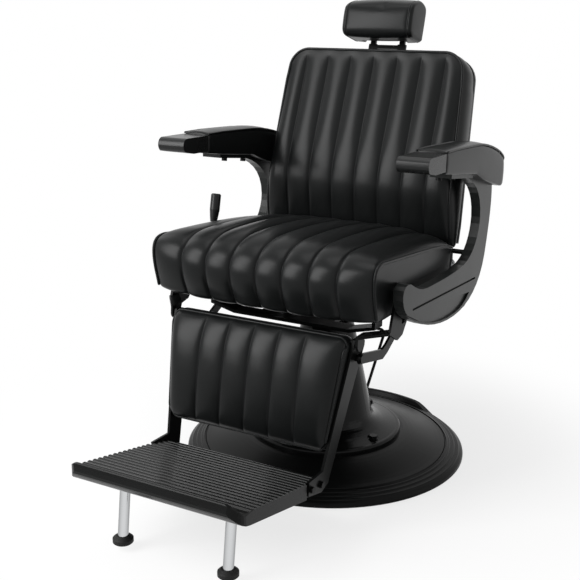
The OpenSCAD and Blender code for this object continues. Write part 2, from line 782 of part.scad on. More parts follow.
module arm_frame() {
    relief = 5;
    groove_w = 5;
    color(satin) difference() {
        union() {
            slab(arm_in, arm_out - relief) arm_outline();
            slab(arm_out - relief - eps, arm_out) arm_face();
            // saddle under the pad
            slab(arm_in - 14, arm_out + 14)
                polygon([saddle_front, saddle_front + [0, saddle_t], saddle_rear + [0, saddle_t + 1],
                         saddle_rear + [0, 1]]);
        }
        slab(arm_out - relief, arm_out + 1) {
            polygon(fan_recess);
            strip(groove_from, groove_to, groove_w);
        }
        // lightening recess on the inner face of the fan
        slab(arm_in - 1, arm_in + 8) polygon(on_seat(concat(
            [[-190, 18], [120, 18]],
            bez([160, 3], [150, -42], [60, -58], [20, -58], 5),
            bez([20, -58], [-60, -58], [-140, -32], [-190, -6], 5))));
        xbar(tie_d, arm_in - 1, arm_in + seat_depth, tie);
        xbar(stud_d, arm_in - 1, arm_in + seat_depth, stud);
        for (b = pad_bolts) arm_bolt(bolt_hole = true, at = b);
    }
    // bosses round the shaft and the stud inside the casting
    color(satin) difference() {
        slab(arm_in, arm_in + 12) {
            translate(tie) circle(d = tie_d + 12);
            translate(stud) circle(d = stud_d + 12);
        }
        xbar(tie_d, arm_in - 1, arm_in + seat_depth, tie);
        xbar(stud_d, arm_in - 1, arm_in + seat_depth, stud);
    }
}

module arm_frame_left() { arm_frame(); }
module arm_frame_right() { mirror([1, 0, 0]) arm_frame(); }

// Places of the two bolts under each arm pad
pad_bolts = [-30, 58];
saddle_run = saddle_rear - saddle_front;
saddle_slope = atan(saddle_run[1] / saddle_run[0]);
pad_bolt_d = 8;

function saddle_z(y) = saddle_front[1] + (y - saddle_front[0]) * tan(saddle_slope);

// Bolt up through the saddle into the pad, or the hole that clears it
module arm_bolt(bolt_hole, at) {
    hole = pad_bolt_d + (bolt_hole ? 0.6 : 0);
    translate([(arm_in + arm_out) / 2 - 16, at, saddle_z(at)]) rotate([saddle_slope, 0, 0]) {
        up(bolt_hole ? -20 : -0.2) cylinder(d = hole, h = bolt_hole ? 50 : 26, $fn = 32);
        if (!bolt_hole) up(-7.2) cylinder(d = pad_bolt_d * 1.7, h = 7, $fn = 32);
    }
}

module arm_pad_bolts() {
    color(chrome) both_sides() for (b = pad_bolts) arm_bolt(bolt_hole = false, at = b);
}

// ---------------------------------------------------------------- arm pads

cap_front = -233;
cap_rear = -133;
pad_half = pad_w / 2;
pad_mid_x = (arm_in + arm_out) / 2;
pad_rear = 298;

// Stations along the pad: place, underside, and top of the side seam
pad_path = [
    for (q = [[cap_rear, 289, 8], [cap_rear + 6, 288, 4], [-64, 279.2, 4], [0, 271.8, 6],
              [82, 262.3, 9], [118, 249, 12], [150, 238, 17], [185, 229, 24], [220, 221, 33],
              [252, 214, 43], [278, 208, 55], [292, 210, 63], [pad_rear, 216, 74]])
        [q[0], seat_z + q[1], pad_top_z - q[2]]
];

// Cross section, flat below and crowned above its side seams
function pad_section(p, tight) =
    let (w = pad_half - tight, rise = 5)
    [for (q = concat(
        [[-w + 4, p[1]], [w - 4, p[1]], [w, p[1] + 5]],
        [[w - 1.5, lerp(p[1], p[2], 0.5)], [w, p[2] - 4], [w - 2, p[2]]],
        [for (k = [1:5]) let (u = 1 - k / 3) [w * u, p[2] + rise * (1 - u * u)]],
        [[-w + 2, p[2]], [-w, p[2] - 4], [-w + 1.5, lerp(p[1], p[2], 0.5)], [-w, p[1] + 5]]))
        [pad_mid_x + q[0], p[0], q[1]]];

module arm_pad() {
    n = len(pad_path) - 1;
    tight = concat([2], [for (i = [2:n - 1]) 0], [2, 6]);
    rows = [for (i = [n:-1:0]) pad_section(pad_path[i], tight[i])];
    color(leather) difference() {
        polyhedron(all_points(rows), loop_faces(len(rows), len(rows[0])), convexity = 4);
        slab(arm_in - 0.4, arm_out + 0.4)
            polygon(on_seat([[81, 248], [81, 253.5 + saddle_t], [150, 238.5], [296.5, 212.5],
                             [301, 188], [150, 188]]));
        for (b = pad_bolts) arm_bolt(bolt_hole = true, at = b);
    }
}

module arm_pad_left() { arm_pad(); }
module arm_pad_right() { mirror([1, 0, 0]) arm_pad(); }

// Smooth moulded nose in front of each pad
module arm_cap() {
    top = pad_top_z - 7;
    low = pad_top_z - 41;
    r = (top - low) / 2;
    x0 = pad_mid_x - pad_half + 1;
    color(enamel) difference() {
        slab(x0, x0 + pad_w - 2) polygon(concat(
            [[cap_rear - eps, low - 4]], [[cap_rear - eps, top]],
            arc([cap_front + r - 2, low + r + 1], r, 100, 240, 14),
            [[cap_front + 40, low - 3]]));
        // recess for the fixing screw, from below
        translate([pad_mid_x, cap_rear - 40, low - 10]) cylinder(d = 12, h = 16);
    }
}

module arm_cap_left() { arm_cap(); }
module arm_cap_right() { mirror([1, 0, 0]) arm_cap(); }

// ---------------------------------------------------------------- leg rest hangers

gap_mid = (seat_half + arm_in) / 2;
hang_in = gap_mid - plate / 2;
hang_out = gap_mid + plate / 2;
strap_low = leg_pivot[1] + 14;

// Plate on the tie shaft, a strap inwards, and the lug that carries the leg rest
module leg_hanger() {
    color(satin) difference() {
        union() {
            slab(hang_in, hang_out) {
                translate(tie) circle(d = tie_d + 16);
                polygon([[tie[0] - 17, tie[1]], [-272, strap_low + 6], [-272, strap_low],
                         [-232, strap_low - 22], [-205, strap_low - 16], [-180, strap_low + 12],
                         [tie[0] + 17, tie[1]]]);
            }
            up(strap_low) linear_extrude(plate)
                polygon([[lug_in, -334], [lug_out, -334], [hang_out, -276], [hang_out, -246],
                         [hang_in, -246], [lug_in, -298]]);
            slab(lug_in, lug_out) {
                translate(leg_pivot) circle(d = leg_pin_d + 16);
                polygon([leg_pivot + [-15, 0], leg_pivot + [15, 0], [-298, strap_low + 1],
                         [-334, strap_low + 1]]);
            }
        }
        xbar(tie_d, 0, arm_in, tie);
        xbar(leg_pin_d, 0, arm_in, leg_pivot);
        // window in the hanging plate
        slab(hang_in - 1, hang_out + 1) translate([0, strap_low])
            polygon([[-212, 9], [-196, 9], [-204, 29], [-216, 34]]);
    }
}

module leg_hanger_left() { leg_hanger(); }
module leg_hanger_right() { mirror([1, 0, 0]) leg_hanger(); }

module leg_pivot_pins() {
    color(steel) both_sides() {
        xbar(leg_pin_d, bar_mid - plate - 1, lug_out, leg_pivot);
        xbar(leg_pin_d + 6, bar_mid - plate - 1, bar_mid - plate + 1, leg_pivot);
    }
}

// ---------------------------------------------------------------- leg rest

link_offset = [8, -34];
link_front = leg_pivot + link_offset;
link_rear = pivot + link_offset;
bar_line = [
    for (q = [[-14, 0], [-10, 10], [-2, 13], [42, -3], [43, -14], [28, -52], [-56, -302], [-84, -312],
              [-146, -295], [-151, -260], [-89, -261]])
        leg_pivot + q
];
foot_bolts = [leg_pivot - [139, 280], leg_pivot - [94, 288]];

// Place across the chair of a side bar's middle plane at height z
function bar_x(z) = bar_mid + (z - leg_pivot[1]) * tan(splay);

// A hole along X through one side bar
module bar_hole(d, p) { xbar(d, 0, seat_half, p); }

// The plane of a side bar, which leans inwards going down
module bar_frame() {
    translate([bar_mid, 0, leg_pivot[1]]) rotate([0, splay, 0]) translate([0, 0, -leg_pivot[1]])
        children();
}

module leg_bar() {
    color(satin) difference() {
        bar_frame() slab(-plate / 2, plate / 2) polygon(bar_line);
        bar_hole(leg_pin_d + 2 * running, leg_pivot);
        bar_hole(link_pin_d, link_front);
        for (b = foot_bolts) bar_hole(foot_bolt_d, b);
    }
    // pin that drives the push link
    color(satin) {
        xbar(link_pin_d, bar_x(link_front[1]) - plate / 2, lug_out + 2, link_front);
        xbar(link_pin_d + 6, lug_out + 0.4, lug_out + 3, link_front);
    }
}

module leg_bar_left() { leg_bar(); }
module leg_bar_right() { mirror([1, 0, 0]) leg_bar(); }

// A point of the leg rest's own frame, which leans about the pivot
function leg_at(p) = leg_pivot + lean(p, leg_tilt);

module in_leg_frame() {
    translate([0, leg_pivot[0], leg_pivot[1]]) rotate([-leg_tilt, 0, 0]) children();
}

stretchers = [-70, -190];
stretcher_d = 14;
leg_board_y = 10.6;
leg_board_t = 9;

module leg_stretchers() {
    color(satin) for (h = stretchers) {
        p = leg_at([leg_board_y + leg_board_t + stretcher_d / 2, h]);
        x = bar_x(p[1]) - plate / 2 - 1.2;
        xbar(stretcher_d, -x, x, p);
    }
}

leg_front = leg_board_y - leg_pad_t;
leg_top = 10.5;
leg_low = leg_top - leg_pad_h;

function leg_half(z) = lerp(leg_w_low, leg_w_top, (z - leg_low) / leg_pad_h) / 2;

module leg_board() {
    inset = 3;
    color(plywood) in_leg_frame() translate([0, leg_board_y + leg_board_t, 0]) rotate([90, 0, 0])
        linear_extrude(leg_board_t) polygon([
            [-leg_half(leg_low) + inset, leg_low + inset], [leg_half(leg_low) - inset, leg_low + inset],
            [leg_half(leg_top) - inset, leg_top - inset], [-leg_half(leg_top) + inset, leg_top - inset]]);
}

leg_loop_side = concat(
    bez([leg_front, leg_low + 12], [leg_front, leg_low + 80], [leg_front, leg_top - 80],
        [leg_front, leg_top - 14], 8),
    bez([leg_front, leg_top - 14], [leg_front, leg_top - 4], [leg_front + 5, leg_top],
        [leg_front + 14, leg_top], 3),
    [[leg_front + 14, leg_top], [leg_board_y - 6, leg_top], [leg_board_y, leg_top - 5],
     [leg_board_y, leg_low + 5], [leg_board_y - 6, leg_low]],
    bez([leg_front + 12, leg_low], [leg_front + 4, leg_low], [leg_front, leg_low + 3],
        [leg_front, leg_low + 12], 3)
);
leg_loop_mid = concat(
    bez([leg_front - 7, leg_low + 16], [leg_front - 13, leg_low + 80], [leg_front - 14, leg_top - 70],
        [leg_front - 8, leg_top - 18], 8),
    bez([leg_front - 8, leg_top - 18], [leg_front - 5, leg_top - 4], [leg_front + 4, leg_top + 3],
        [leg_front + 16, leg_top + 3], 3),
    [[leg_front + 16, leg_top + 3], [leg_board_y - 6, leg_top + 1], [leg_board_y, leg_top - 5],
     [leg_board_y, leg_low + 5], [leg_board_y - 6, leg_low - 1]],
    bez([leg_front + 12, leg_low - 2], [leg_front + 2, leg_low - 1], [leg_front - 5, leg_low + 4],
        [leg_front - 7, leg_low + 16], 3)
);
leg_sewn = [for (j = [0:18]) j < 12 ? 0.9 : (j > 15 ? 0.9 : 0)];
leg_corner = 18;

// Pulls the ends of the pad in at its rounded corners
function round_ends(rows, low, top, r, half) = [
    for (row = rows) [
        for (q = row)
            let (drop = corner_drop(q[0] / half, half, r),
                 up = max(0, 1 - (top - q[2]) / (1.6 * r)),
                 down = max(0, 1 - (q[2] - low) / (1.6 * r)))
                [q[0], q[1], q[2] - drop * min(1, up) + drop * min(1, down)]
    ]
];

module leg_pad() {
    halves = [for (p = leg_loop_side) leg_half(p[1])];
    rows = [for (s = stations(leg_channels))
        pad_row(leg_loop_side, leg_loop_mid, halves, leg_sewn, s, leg_channels, channel_depth - 1)];
    color(leather) in_leg_frame()
        padded(round_ends(rows, leg_low, leg_top, leg_corner, leg_half(-leg_pad_h / 2)), 2);
}

// ---------------------------------------------------------------- foot plate

foot_rear = leg_pivot - [92, 276];
rib_h = 4;
rib_pitch = 16;
deck_slope = 11.6;
skirt_rear = 33;
skirt_front = 27;
lip_top = 88;
lip_low = 61;

function deck_z(y) = -y * tan(deck_slope);

// Upper line of the deck: ribs, then a curve up into the toe lip, and back below the skirt
foot_deck = concat(
    [[0, -2]],
    [for (k = [0:foot_ribs - 1]) each
        let (y = -5 - k * rib_pitch)
            [[y, deck_z(y)], [y - 2.5, deck_z(y) + rib_h], [y - 6.5, deck_z(y) + rib_h + 1.4],
             [y - 10.5, deck_z(y) + rib_h + 1], [y - 13, deck_z(y) + 1.6]]],
    bez([-foot_depth + 44, deck_z(-foot_depth + 44)], [-foot_depth + 26, deck_z(-foot_depth + 26)],
        [-foot_depth + 14, lip_top - 18], [-foot_depth + 9, lip_top - 4], 4),
    arc([-foot_depth + 5, lip_top - 4], 4, 0, 150, 4),
    bez([-foot_depth, lip_top - 8], [-foot_depth - 1, lip_low + 8], [-foot_depth + 1, lip_low + 2],
        [-foot_depth + 5, lip_low - 2], 3),
    bez([-foot_depth + 5, lip_low - 2], [-foot_depth + 14, 46], [-foot_depth + 26, 38],
        [-foot_depth + 46, deck_z(-foot_depth + 46) - skirt_front], 4),
    [[-foot_depth + 46, deck_z(-foot_depth + 46) - skirt_front], [-60, deck_z(-60) - skirt_rear],
     [0, -skirt_rear]]
);

// Plan of the foot plate with its rounded toe corners
module foot_plan() {
    corner = 34;
    toe = -foot_depth - 2;
    polygon(concat(
        [[foot_w / 2 - 2, 5], [foot_w / 2 - 2, -40], [foot_w / 2, toe + corner]],
        arc([foot_w / 2 - corner, toe + corner], corner, 0, -90, 8),
        arc([-foot_w / 2 + corner, toe + corner], corner, -90, -180, 8),
        [[-foot_w / 2, toe + corner], [-foot_w / 2 + 2, -40], [-foot_w / 2 + 2, 5]]));
}

// Front view of the foot plate: the lip's ends are rounded down to the deck
module foot_front() {
    r = 34;
    polygon(concat(
        [[foot_w / 2, -60], [foot_w / 2, lip_top - r + 4]],
        arc([foot_w / 2 - r, lip_top - r], r, 8, 90, 8),
        arc([-foot_w / 2 + r, lip_top - r], r, 90, 172, 8),
        [[-foot_w / 2, lip_top - r + 4], [-foot_w / 2, -60]]));
}

foot_leg_tilt = 7;
foot_leg_y = -238;
foot_wall = 9;
foot_disc_h = 12;
socket_top = deck_z(foot_leg_y) - 8;

module in_foot_frame() {
    translate([0, foot_rear[0], foot_rear[1]]) children();
}

// A leg's own frame: its origin is the top of the leg, and it leans forward going down
module in_foot_leg() {
    in_foot_frame() translate([foot_leg_span / 2, foot_leg_y, socket_top])
        rotate([-foot_leg_tilt, 0, 0]) children();
}

module foot_plate() {
    color(satin) difference() {
        union() {
            in_foot_frame() difference() {
                intersection() {
                    slab(-foot_w / 2, foot_w / 2) polygon(foot_deck);
                    up(-60) linear_extrude(200) foot_plan();
                    translate([0, 1, 0]) rotate([90, 0, 0]) linear_extrude(foot_depth + 5) foot_front();
                }
                foot_hollow();
            }
            both_sides() in_foot_leg() up(-22) cylinder(d = foot_leg_d + 10, h = 20);
        }
        both_sides() {
            in_foot_leg() up(-60) cylinder(d = foot_leg_d, h = 60);
            bar_frame() slab(-plate / 2, 40) translate(foot_rear)
                polygon([[62, -86], [-65, -86], [-65, 49], [62, 49]]);
            for (b = foot_bolts) xbar(foot_bolt_d, foot_pocket_x - 36, seat_half, b);
        }
    }
}

// Hollow under the deck, on each side of a middle rib
module foot_hollow() {
    below = foot_wall - 1;
    for (x = [-1, 1]) scale([x, 1, 1]) slab(5, foot_pocket_x - foot_wall)
        polygon([[-foot_wall, -below], [-foot_wall, -60], [-foot_depth + 52, -60],
                 [-foot_depth + 52, deck_z(-foot_depth + 52) - below]]);
}

foot_bolt_d = 8;

module foot_plate_bolts() {
    head = 6;
    color(enamel) both_sides() for (b = foot_bolts) {
        x = bar_x(b[1]) + plate / 2 + 0.8;
        xbar(foot_bolt_d, foot_pocket_x - foot_wall - 8, x + 1, b);
        xbar(foot_bolt_d * 1.9, x, x + head, b);
    }
}

// ---------------------------------------------------------------- legs of the foot plate

// Height of a leg, from its rubber foot to the top of its socket
foot_leg_l = (foot_rear[1] + socket_top - foot_clear - foot_disc_h) / cos(foot_leg_tilt);

module foot_legs() {
    color(chrome) both_sides() in_foot_leg() up(-foot_leg_l - 3)
        cylinder(d = foot_leg_d, h = foot_leg_l + 3);
}

// Rubber feet that hang just over the floor
module foot_pads() {
    top = foot_clear + foot_disc_h;
    y = foot_rear[0] + foot_leg_y - foot_leg_l * sin(foot_leg_tilt);
    color(rubber) both_sides() difference() {
        translate([foot_leg_span / 2, y, 0]) rotate_extrude()
            polygon([[0, foot_clear], [foot_pad_d / 2 - 2, foot_clear], [foot_pad_d / 2, foot_clear + 2],
                     [foot_pad_d / 2, top - 2], [foot_pad_d / 2 - 2, top], [foot_leg_d / 2 + 3, top + 4],
                     [0, top + 4]]);
        in_foot_leg() up(-foot_leg_l - 3) cylinder(d = foot_leg_d, h = 40);
    }
}

// ---------------------------------------------------------------- push links

link_w = 22;
link_pin_d = 14;
link_bends = [for (q = [[-200, -57], [-178, -50], [-96, -8]]) q + [0, leg_pivot[1]]];

// One edge of a flat bar with sharp bends, w from its middle line; a negative w is the other edge
function bar_edge(path, w) = let (last = len(path) - 1) [
    for (i = [0:last])
        let (a = path[min(i, last - 1) + 1] - path[min(i, last - 1)],
             b = path[max(i, 1)] - path[max(i, 1) - 1],
             u = a / norm(a) + b / norm(b), t = u / norm(u), half = t * a / norm(a))
        path[i] + w / half * [-t[1], t[0]]
];

// Cranked bar from the leg rest's side bar to the lower lug of the back
module push_link() {
    open_gap = 0.3;
    path = concat([link_front], link_bends, [link_rear]);
    upper = bar_edge(path, link_w / 2);
    color(satin) difference() {
        slab(lug_in, lug_out) {
            polygon(concat(bar_edge(path, -link_w / 2), [for (i = [len(upper) - 1:-1:0]) upper[i]]));
            translate(link_front) circle(d = link_w + 2);
            translate(link_rear) circle(d = link_w + 4);
        }
        xbar(link_pin_d + 2 * running, 0, arm_in, link_front);
        xbar(link_pin_d + 2 * open_gap, 0, arm_in, link_rear);
    }
}

module push_link_left() { push_link(); }
module push_link_right() { mirror([1, 0, 0]) push_link(); }

// ---------------------------------------------------------------- recline lock

lock_x = -66;
lock_r = 54;
lock_half = recline / 2;
lock_d = 28;
lock_rod_d = 12;
lock_bar_d = 16;
lock_z = pivot[1] - lock_r * (1 + cos(lock_half)) / 2;
lock_bar_rest = pivot + lock_r * [sin(lock_half), -cos(lock_half)];
lock_play = 0.7;
lock_rear = 60;
lock_front = -120;

// Clamps for the lock's cylinder
module lock_lugs() {
    for (y = [lock_front + 12, lock_rear - 30])
        translate([lock_x - lock_d / 2 - 6, y, cradle_z + cradle_t - 1]) difference() {
            cube([lock_d + 12, 12, lock_z - cradle_z - cradle_t + 1]);
            translate([lock_d / 2 + 6, -1, lock_z - cradle_z - cradle_t + 1]) rotate([-90, 0, 0])
                cylinder(d = lock_d, h = 14);
        }
}

// Hydraulic lock of the recline, with its rod through it
module lock_cylinder() {
    color(steel) translate([lock_x, 0, lock_z]) difference() {
        translate([0, lock_front, 0]) rotate([-90, 0, 0]) cylinder(d = lock_d, h = lock_rear - lock_front);
        translate([0, lock_front - 1, 0]) rotate([-90, 0, 0])
            cylinder(r = lock_rod_d / 2 + running, h = lock_rear - lock_front + 2);
    }
}

// Rod with a slotted yoke that embraces the back's lower cross tube
module lock_rod() {
    yoke_t = 14;
    slot = lock_bar_d / 2 + lock_play;
    swing = lock_r * (1 - cos(lock_half)) / 2 + 1.5;
    color(chrome) {
        translate([lock_x, lock_front - 20, lock_z]) rotate([-90, 0, 0])
            cylinder(d = lock_rod_d, h = lock_bar_rest[0] - slot - 7 - lock_front + 20);
        slab(lock_x - yoke_t / 2, lock_x + yoke_t / 2) difference() {
            strip([lock_bar_rest[0], lock_z - swing], [lock_bar_rest[0], lock_z + swing], 2 * slot + 14);
            strip([lock_bar_rest[0], lock_z - swing], [lock_bar_rest[0], lock_z + swing], 2 * slot);
        }
    }
}

lever_pin_d = 12;
lever_pivot_p = [-85, seat_z + 28];
lever_lean = 11;
lever_t = 5;
lever_x = gap_mid;

module lever_pivot() {
    color(steel) {
        xbar(lever_pin_d, -lever_x - lever_t / 2 - 1.5, -side_out, lever_pivot_p);
        xbar(lever_pin_d + 6, -lever_x - lever_t / 2 - 3.5, -lever_x - lever_t / 2 - 1.5, lever_pivot_p);
    }
}

grip_d = 25;
grip_low = 84;
grip_l = 70;
grip_x = lever_x + 12;

// Flat lever in the gap between seat and arm frame, joggled outwards under its grip
module recline_lever() {
    arm_top = 44;
    color(satin) translate([-lever_x, lever_pivot_p[0], lever_pivot_p[1]])
        rotate([-lever_lean, 0, 0]) difference() {
            union() {
                slab(-lever_t / 2, lever_t / 2) strip([0, 0], [0, arm_top], 20);
                translate([0, 7, 0]) rotate([90, 0, 0]) linear_extrude(14) polygon([
                    [-lever_t / 2, arm_top], [lever_t / 2, arm_top], [lever_t / 2 - 12, arm_top + 26],
                    [lever_t / 2 - 12, grip_low], [-lever_t / 2 - 12, grip_low],
                    [-lever_t / 2 - 12, arm_top + 26]]);
                translate([-12, 0, grip_low]) cylinder(d = 12, h = grip_l - 15);
            }
            translate([-20, 0, 0]) rotate([0, 90, 0]) cylinder(r = lever_pin_d / 2 + running, h = 40);
        }
}

module lever_grip() {
    color(rubber) translate([-grip_x, lever_pivot_p[0], lever_pivot_p[1]])
        rotate([-lever_lean, 0, 0]) up(grip_low) difference() {
            rotate_extrude() polygon([[0, 0], [8.5, 0], [grip_d / 2 - 2, 14], [grip_d / 2, 30],
                                      [grip_d / 2, grip_l - 3], [grip_d / 2 - 3, grip_l], [0, grip_l]]);
            up(-1) cylinder(d = 12, h = grip_l - 14);
        }
}

// ---------------------------------------------------------------- back

module in_back_frame() {
    translate([0, pivot[0], pivot[1]]) rotate([-back_lean, 0, 0]) children();
}

board_y = -6;
back_board_t = 10;
shell_y = board_y + back_board_t;
shell_depth = 17;
back_low = 58;
// places in the back's own frame of the two pins, which stand upright over the pivot
link_rear_back = lean(link_offset, -back_lean);
lock_bar_back = lean(lock_bar_rest - pivot, -back_lean);
plate_high = back_top - 95;

module back_side_plates() {
    color(satin) in_back_frame() both_sides() difference() {
        slab(back_plate_in, back_plate_out) {
            circle(d = pivot_d + 24);
            polygon([[shell_y, back_low + 60], [shell_y, back_low], [-18, 26], [-22, 0], [20, -12],
                     [shell_y + shell_depth - 4, 60], [shell_y + shell_depth - 4, plate_high],
                     [shell_y, plate_high]]);
            strip([0, 0], link_rear_back, 30);
            strip([0, 0], lock_bar_back, 26);
        }
        xbar(pivot_d + 2 * running, 0, arm_in, [0, 0]);
        xbar(link_pin_d, 0, arm_in, link_rear_back);
        xbar(lock_bar_d, 0, arm_in, lock_bar_back);
    }
    color(satin) both_sides() {
        xbar(link_pin_d, back_plate_in, lug_out + 2, link_rear);
        xbar(link_pin_d + 6, lug_out + 0.5, lug_out + 4, link_rear);
    }
}

// Tubes between the side plates: one low, which the lock holds, and two behind the board
module back_cross_tubes() {
    color(satin) {
        xbar(lock_bar_d, -back_plate_out, back_plate_out, lock_bar_rest);
        in_back_frame() for (h = [back_low + 60, plate_high - 66])
            xbar(11, -back_plate_in, back_plate_in, [shell_y + 5.5 + 0.2, h]);
    }
}

function back_half(z) = lerp(back_w_low, back_w_top, min(1, max(0, (z - 100) / (back_top - 130)))) / 2;

// Outline of the back in the (x, z) plane, drawn in by a margin
function back_outline(m) = concat(
    [[-back_half(back_low) + m, back_low + max(0, m)], [back_half(back_low) - m, back_low + max(0, m)],
     [back_half(100) - m, 100]],
    arc([back_half(back_top) - back_corner_r, back_top - back_corner_r], back_corner_r - m, 0, 90, 10),
    arc([-back_half(back_top) + back_corner_r, back_top - back_corner_r], back_corner_r - m, 90, 180, 10),
    [[-back_half(100) + m, 100]]
);

// Drop of the back's outline where the boxing has flared out to the rear
function back_grow(y) = back_flare * min(1, max(0, (y + back_front) / back_front));

module back_panel_plate(y0, t, m) {
    translate([0, y0 + t, 0]) rotate([90, 0, 0]) linear_extrude(t) polygon(back_outline(m));
}

module back_board() {
    color(plywood) in_back_frame() difference() {
        back_panel_plate(board_y, back_board_t, 2 - back_flare);
        both_sides() translate([post_span / 2, 0, 0]) guide_space(0);
    }
}

// Hollow rear shell, open towards the board
module back_shell() {
    wall = 3.5;
    color(leather) in_back_frame() difference() {
        hull() {
            back_panel_plate(shell_y, shell_depth - 7, -back_flare);
            back_panel_plate(shell_y, shell_depth, 7 - back_flare);
        }
        translate([0, -1, 0]) back_panel_plate(shell_y, shell_depth - wall + 1, wall + 5 - back_flare);
        // slots where the side plates leave at the bottom
        both_sides() translate([back_plate_in - 1.5, shell_y - 1, back_low - 1])
            cube([plate + 3, shell_depth - wall + 1, 14]);
        both_sides() translate([post_span / 2, 0, 0]) guide_space(0);
    }
}

back_side = concat(
    bez([-20, back_low], [-42, back_low + 2], [-back_front + 18, 88], [-back_front + 10, 112], 4),
    bez([-back_front + 10, 112], [-back_front - 2, 142], [-back_front - 3, 165], [-back_front, 230], 4),
    bez([-back_front, 230], [-back_front + 1, 320], [-back_front, 400], [-back_front, back_top - 24], 5),
    bez([-back_front, back_top - 24], [-back_front, back_top - 6], [-back_front + 6, back_top],
        [-back_front + 20, back_top], 3),
    [[-back_front + 20, back_top + 3], [board_y - 12, back_top + back_flare - 1],
     [board_y, back_top + back_flare - 3], [board_y, 260], [board_y, back_low + 6],
     [board_y - 6, back_low]]
);
back_mid = concat(
    bez([-24, back_low - 2], [-46, back_low], [-back_front + 8, 84], [-back_front - 2, 112], 4),
    bez([-back_front - 2, 112], [-back_front - back_crown - 4, 142],
        [-back_front - back_crown - 6, 170], [-back_front - back_crown, 230], 4),
    bez([-back_front - back_crown, 230], [-back_front - back_crown + 1, 320],
        [-back_front - back_crown + 1, 400], [-back_front - back_crown + 4, back_top - 34], 5),
    bez([-back_front - back_crown + 4, back_top - 34], [-back_front - back_crown + 8, back_top - 6],
        [-back_front + 4, back_top + 5], [-back_front + 22, back_top + 5], 3),
    [[-back_front + 22, back_top + 7], [board_y - 12, back_top + back_flare],
     [board_y, back_top + back_flare - 3], [board_y, 260], [board_y, back_low + 6],
     [board_y - 6, back_low]]
);
back_sewn = [for (j = [0:21]) j < 16 ? 1 : 0];

module back_cushion() {
    halves = [for (p = back_side) back_half(p[1]) + back_grow(p[0])];
    rows = [for (s = stations(back_channels))
        pad_row(back_side, back_mid, halves, back_sewn, s, back_channels, channel_depth)];
    color(leather) in_back_frame() difference() {
        padded(round_ends(rows, -1000, back_top, back_corner_r, back_half(back_top)), 2);
        both_sides() translate([post_span / 2, 0, 0]) guide_space(0.2);
    }
}

// ---------------------------------------------------------------- headrest

post_w = 22;
post_t = 8;
guide_wall = 3;
post_y = shell_y - 1;
guide_low = back_top - 150;
guide_top = back_top + 2;

// Room that one headrest guide takes in the back
module guide_space(gap) {
    w = post_w + 2 * guide_wall + 2 * gap;
    t = post_t + 2 * guide_wall + 2 * gap;
    translate([-w / 2, post_y - t / 2, guide_low - gap]) cube([w, t, guide_top - guide_low + 40]);
}

module headrest_guides() {
    slip = 0.3;
    color(satin) in_back_frame() both_sides() translate([post_span / 2, 0, 0]) difference() {
        translate([-post_w / 2 - guide_wall, post_y - post_t / 2 - guide_wall, guide_low])
            cube([post_w + 2 * guide_wall, post_t + 2 * guide_wall, guide_top - guide_low]);
        translate([-post_w / 2 - slip, post_y - post_t / 2 - slip, guide_low - 1])
            cube([post_w + 2 * slip, post_t + 2 * slip, guide_top - guide_low + 2]);
    }
}

head_low = back_top + head_gap;
hinge_z = head_low + 22;
hinge_pin_d = 12;

// Two flat bars joined by a cross bar that ends in the hinge eyes
module headrest_post() {
    eye_w = 14;
    color(satin) in_back_frame() difference() {
        union() {
            both_sides() translate([post_span / 2 - post_w / 2, post_y - post_t / 2, guide_low + 10])
                cube([post_w, post_t, head_low - 12 - guide_low]);
            translate([-post_span / 2 - post_w / 2, post_y - post_t / 2, head_low - 14])
                cube([post_span + post_w, post_t, 10]);
            both_sides() slab(post_span / 2 - eye_w / 2, post_span / 2 + eye_w / 2) {
                translate([post_y, hinge_z]) circle(d = hinge_pin_d + 12);
                translate([post_y - post_t / 2, head_low - 14]) square([post_t, 30]);
            }
        }
        xbar(hinge_pin_d, -100, 100, [post_y, hinge_z]);
    }
}

module headrest_hinge_pin() {
    color(steel) in_back_frame()
        xbar(hinge_pin_d, -carrier_x - 6, carrier_x + 6, [post_y, hinge_z]);
}

carrier_x = post_span / 2 + 12;

// Pressed carrier behind the pad: two ears on the pin and a plate against the pad
module headrest_carrier() {
    color(satin) in_back_frame() difference() {
        union() {
            both_sides() slab(carrier_x, carrier_x + 4) {
                translate([post_y, hinge_z]) circle(d = hinge_pin_d + 10);
                polygon([[post_y - 34, hinge_z - 10], [post_y, hinge_z - 11], [post_y + 5, hinge_z + 10],
                         [post_y - 34, hinge_z + 32]]);
            }
            translate([-carrier_x - 4, post_y - 37, hinge_z - 10])
                cube([2 * carrier_x + 8, 3, 42]);
        }
        xbar(hinge_pin_d + 2 * running, -100, 100, [post_y, hinge_z]);
    }
}

head_front = -88;
head_rear = head_front + head_depth;
head_half = head_w / 2;
head_side = concat(
    bez([head_front + 14, head_low], [head_front + 2, head_low + 4], [head_front - 1, head_low + 14],
        [head_front - 3, head_low + 26], 4),
    bez([head_front - 3, head_low + 26], [head_front - 6, head_low + 45],
        [head_front - 4, head_low + head_h - 18], [head_front + 6, head_low + head_h - 6], 4),
    bez([head_front + 6, head_low + head_h - 6], [head_front + 16, head_low + head_h + 2],
        [head_front + 50, head_low + head_h + 22], [head_rear - 26, head_low + head_h + 22], 5),
    bez([head_rear - 26, head_low + head_h + 22], [head_rear - 8, head_low + head_h + 22],
        [head_rear, head_low + head_h + 12], [head_rear, head_low + head_h - 6], 4),
    [[head_rear, head_low + head_h - 6], [head_rear, head_low + 50], [head_rear - 1, head_low + 6],
     [head_rear - 6, head_low]]
);

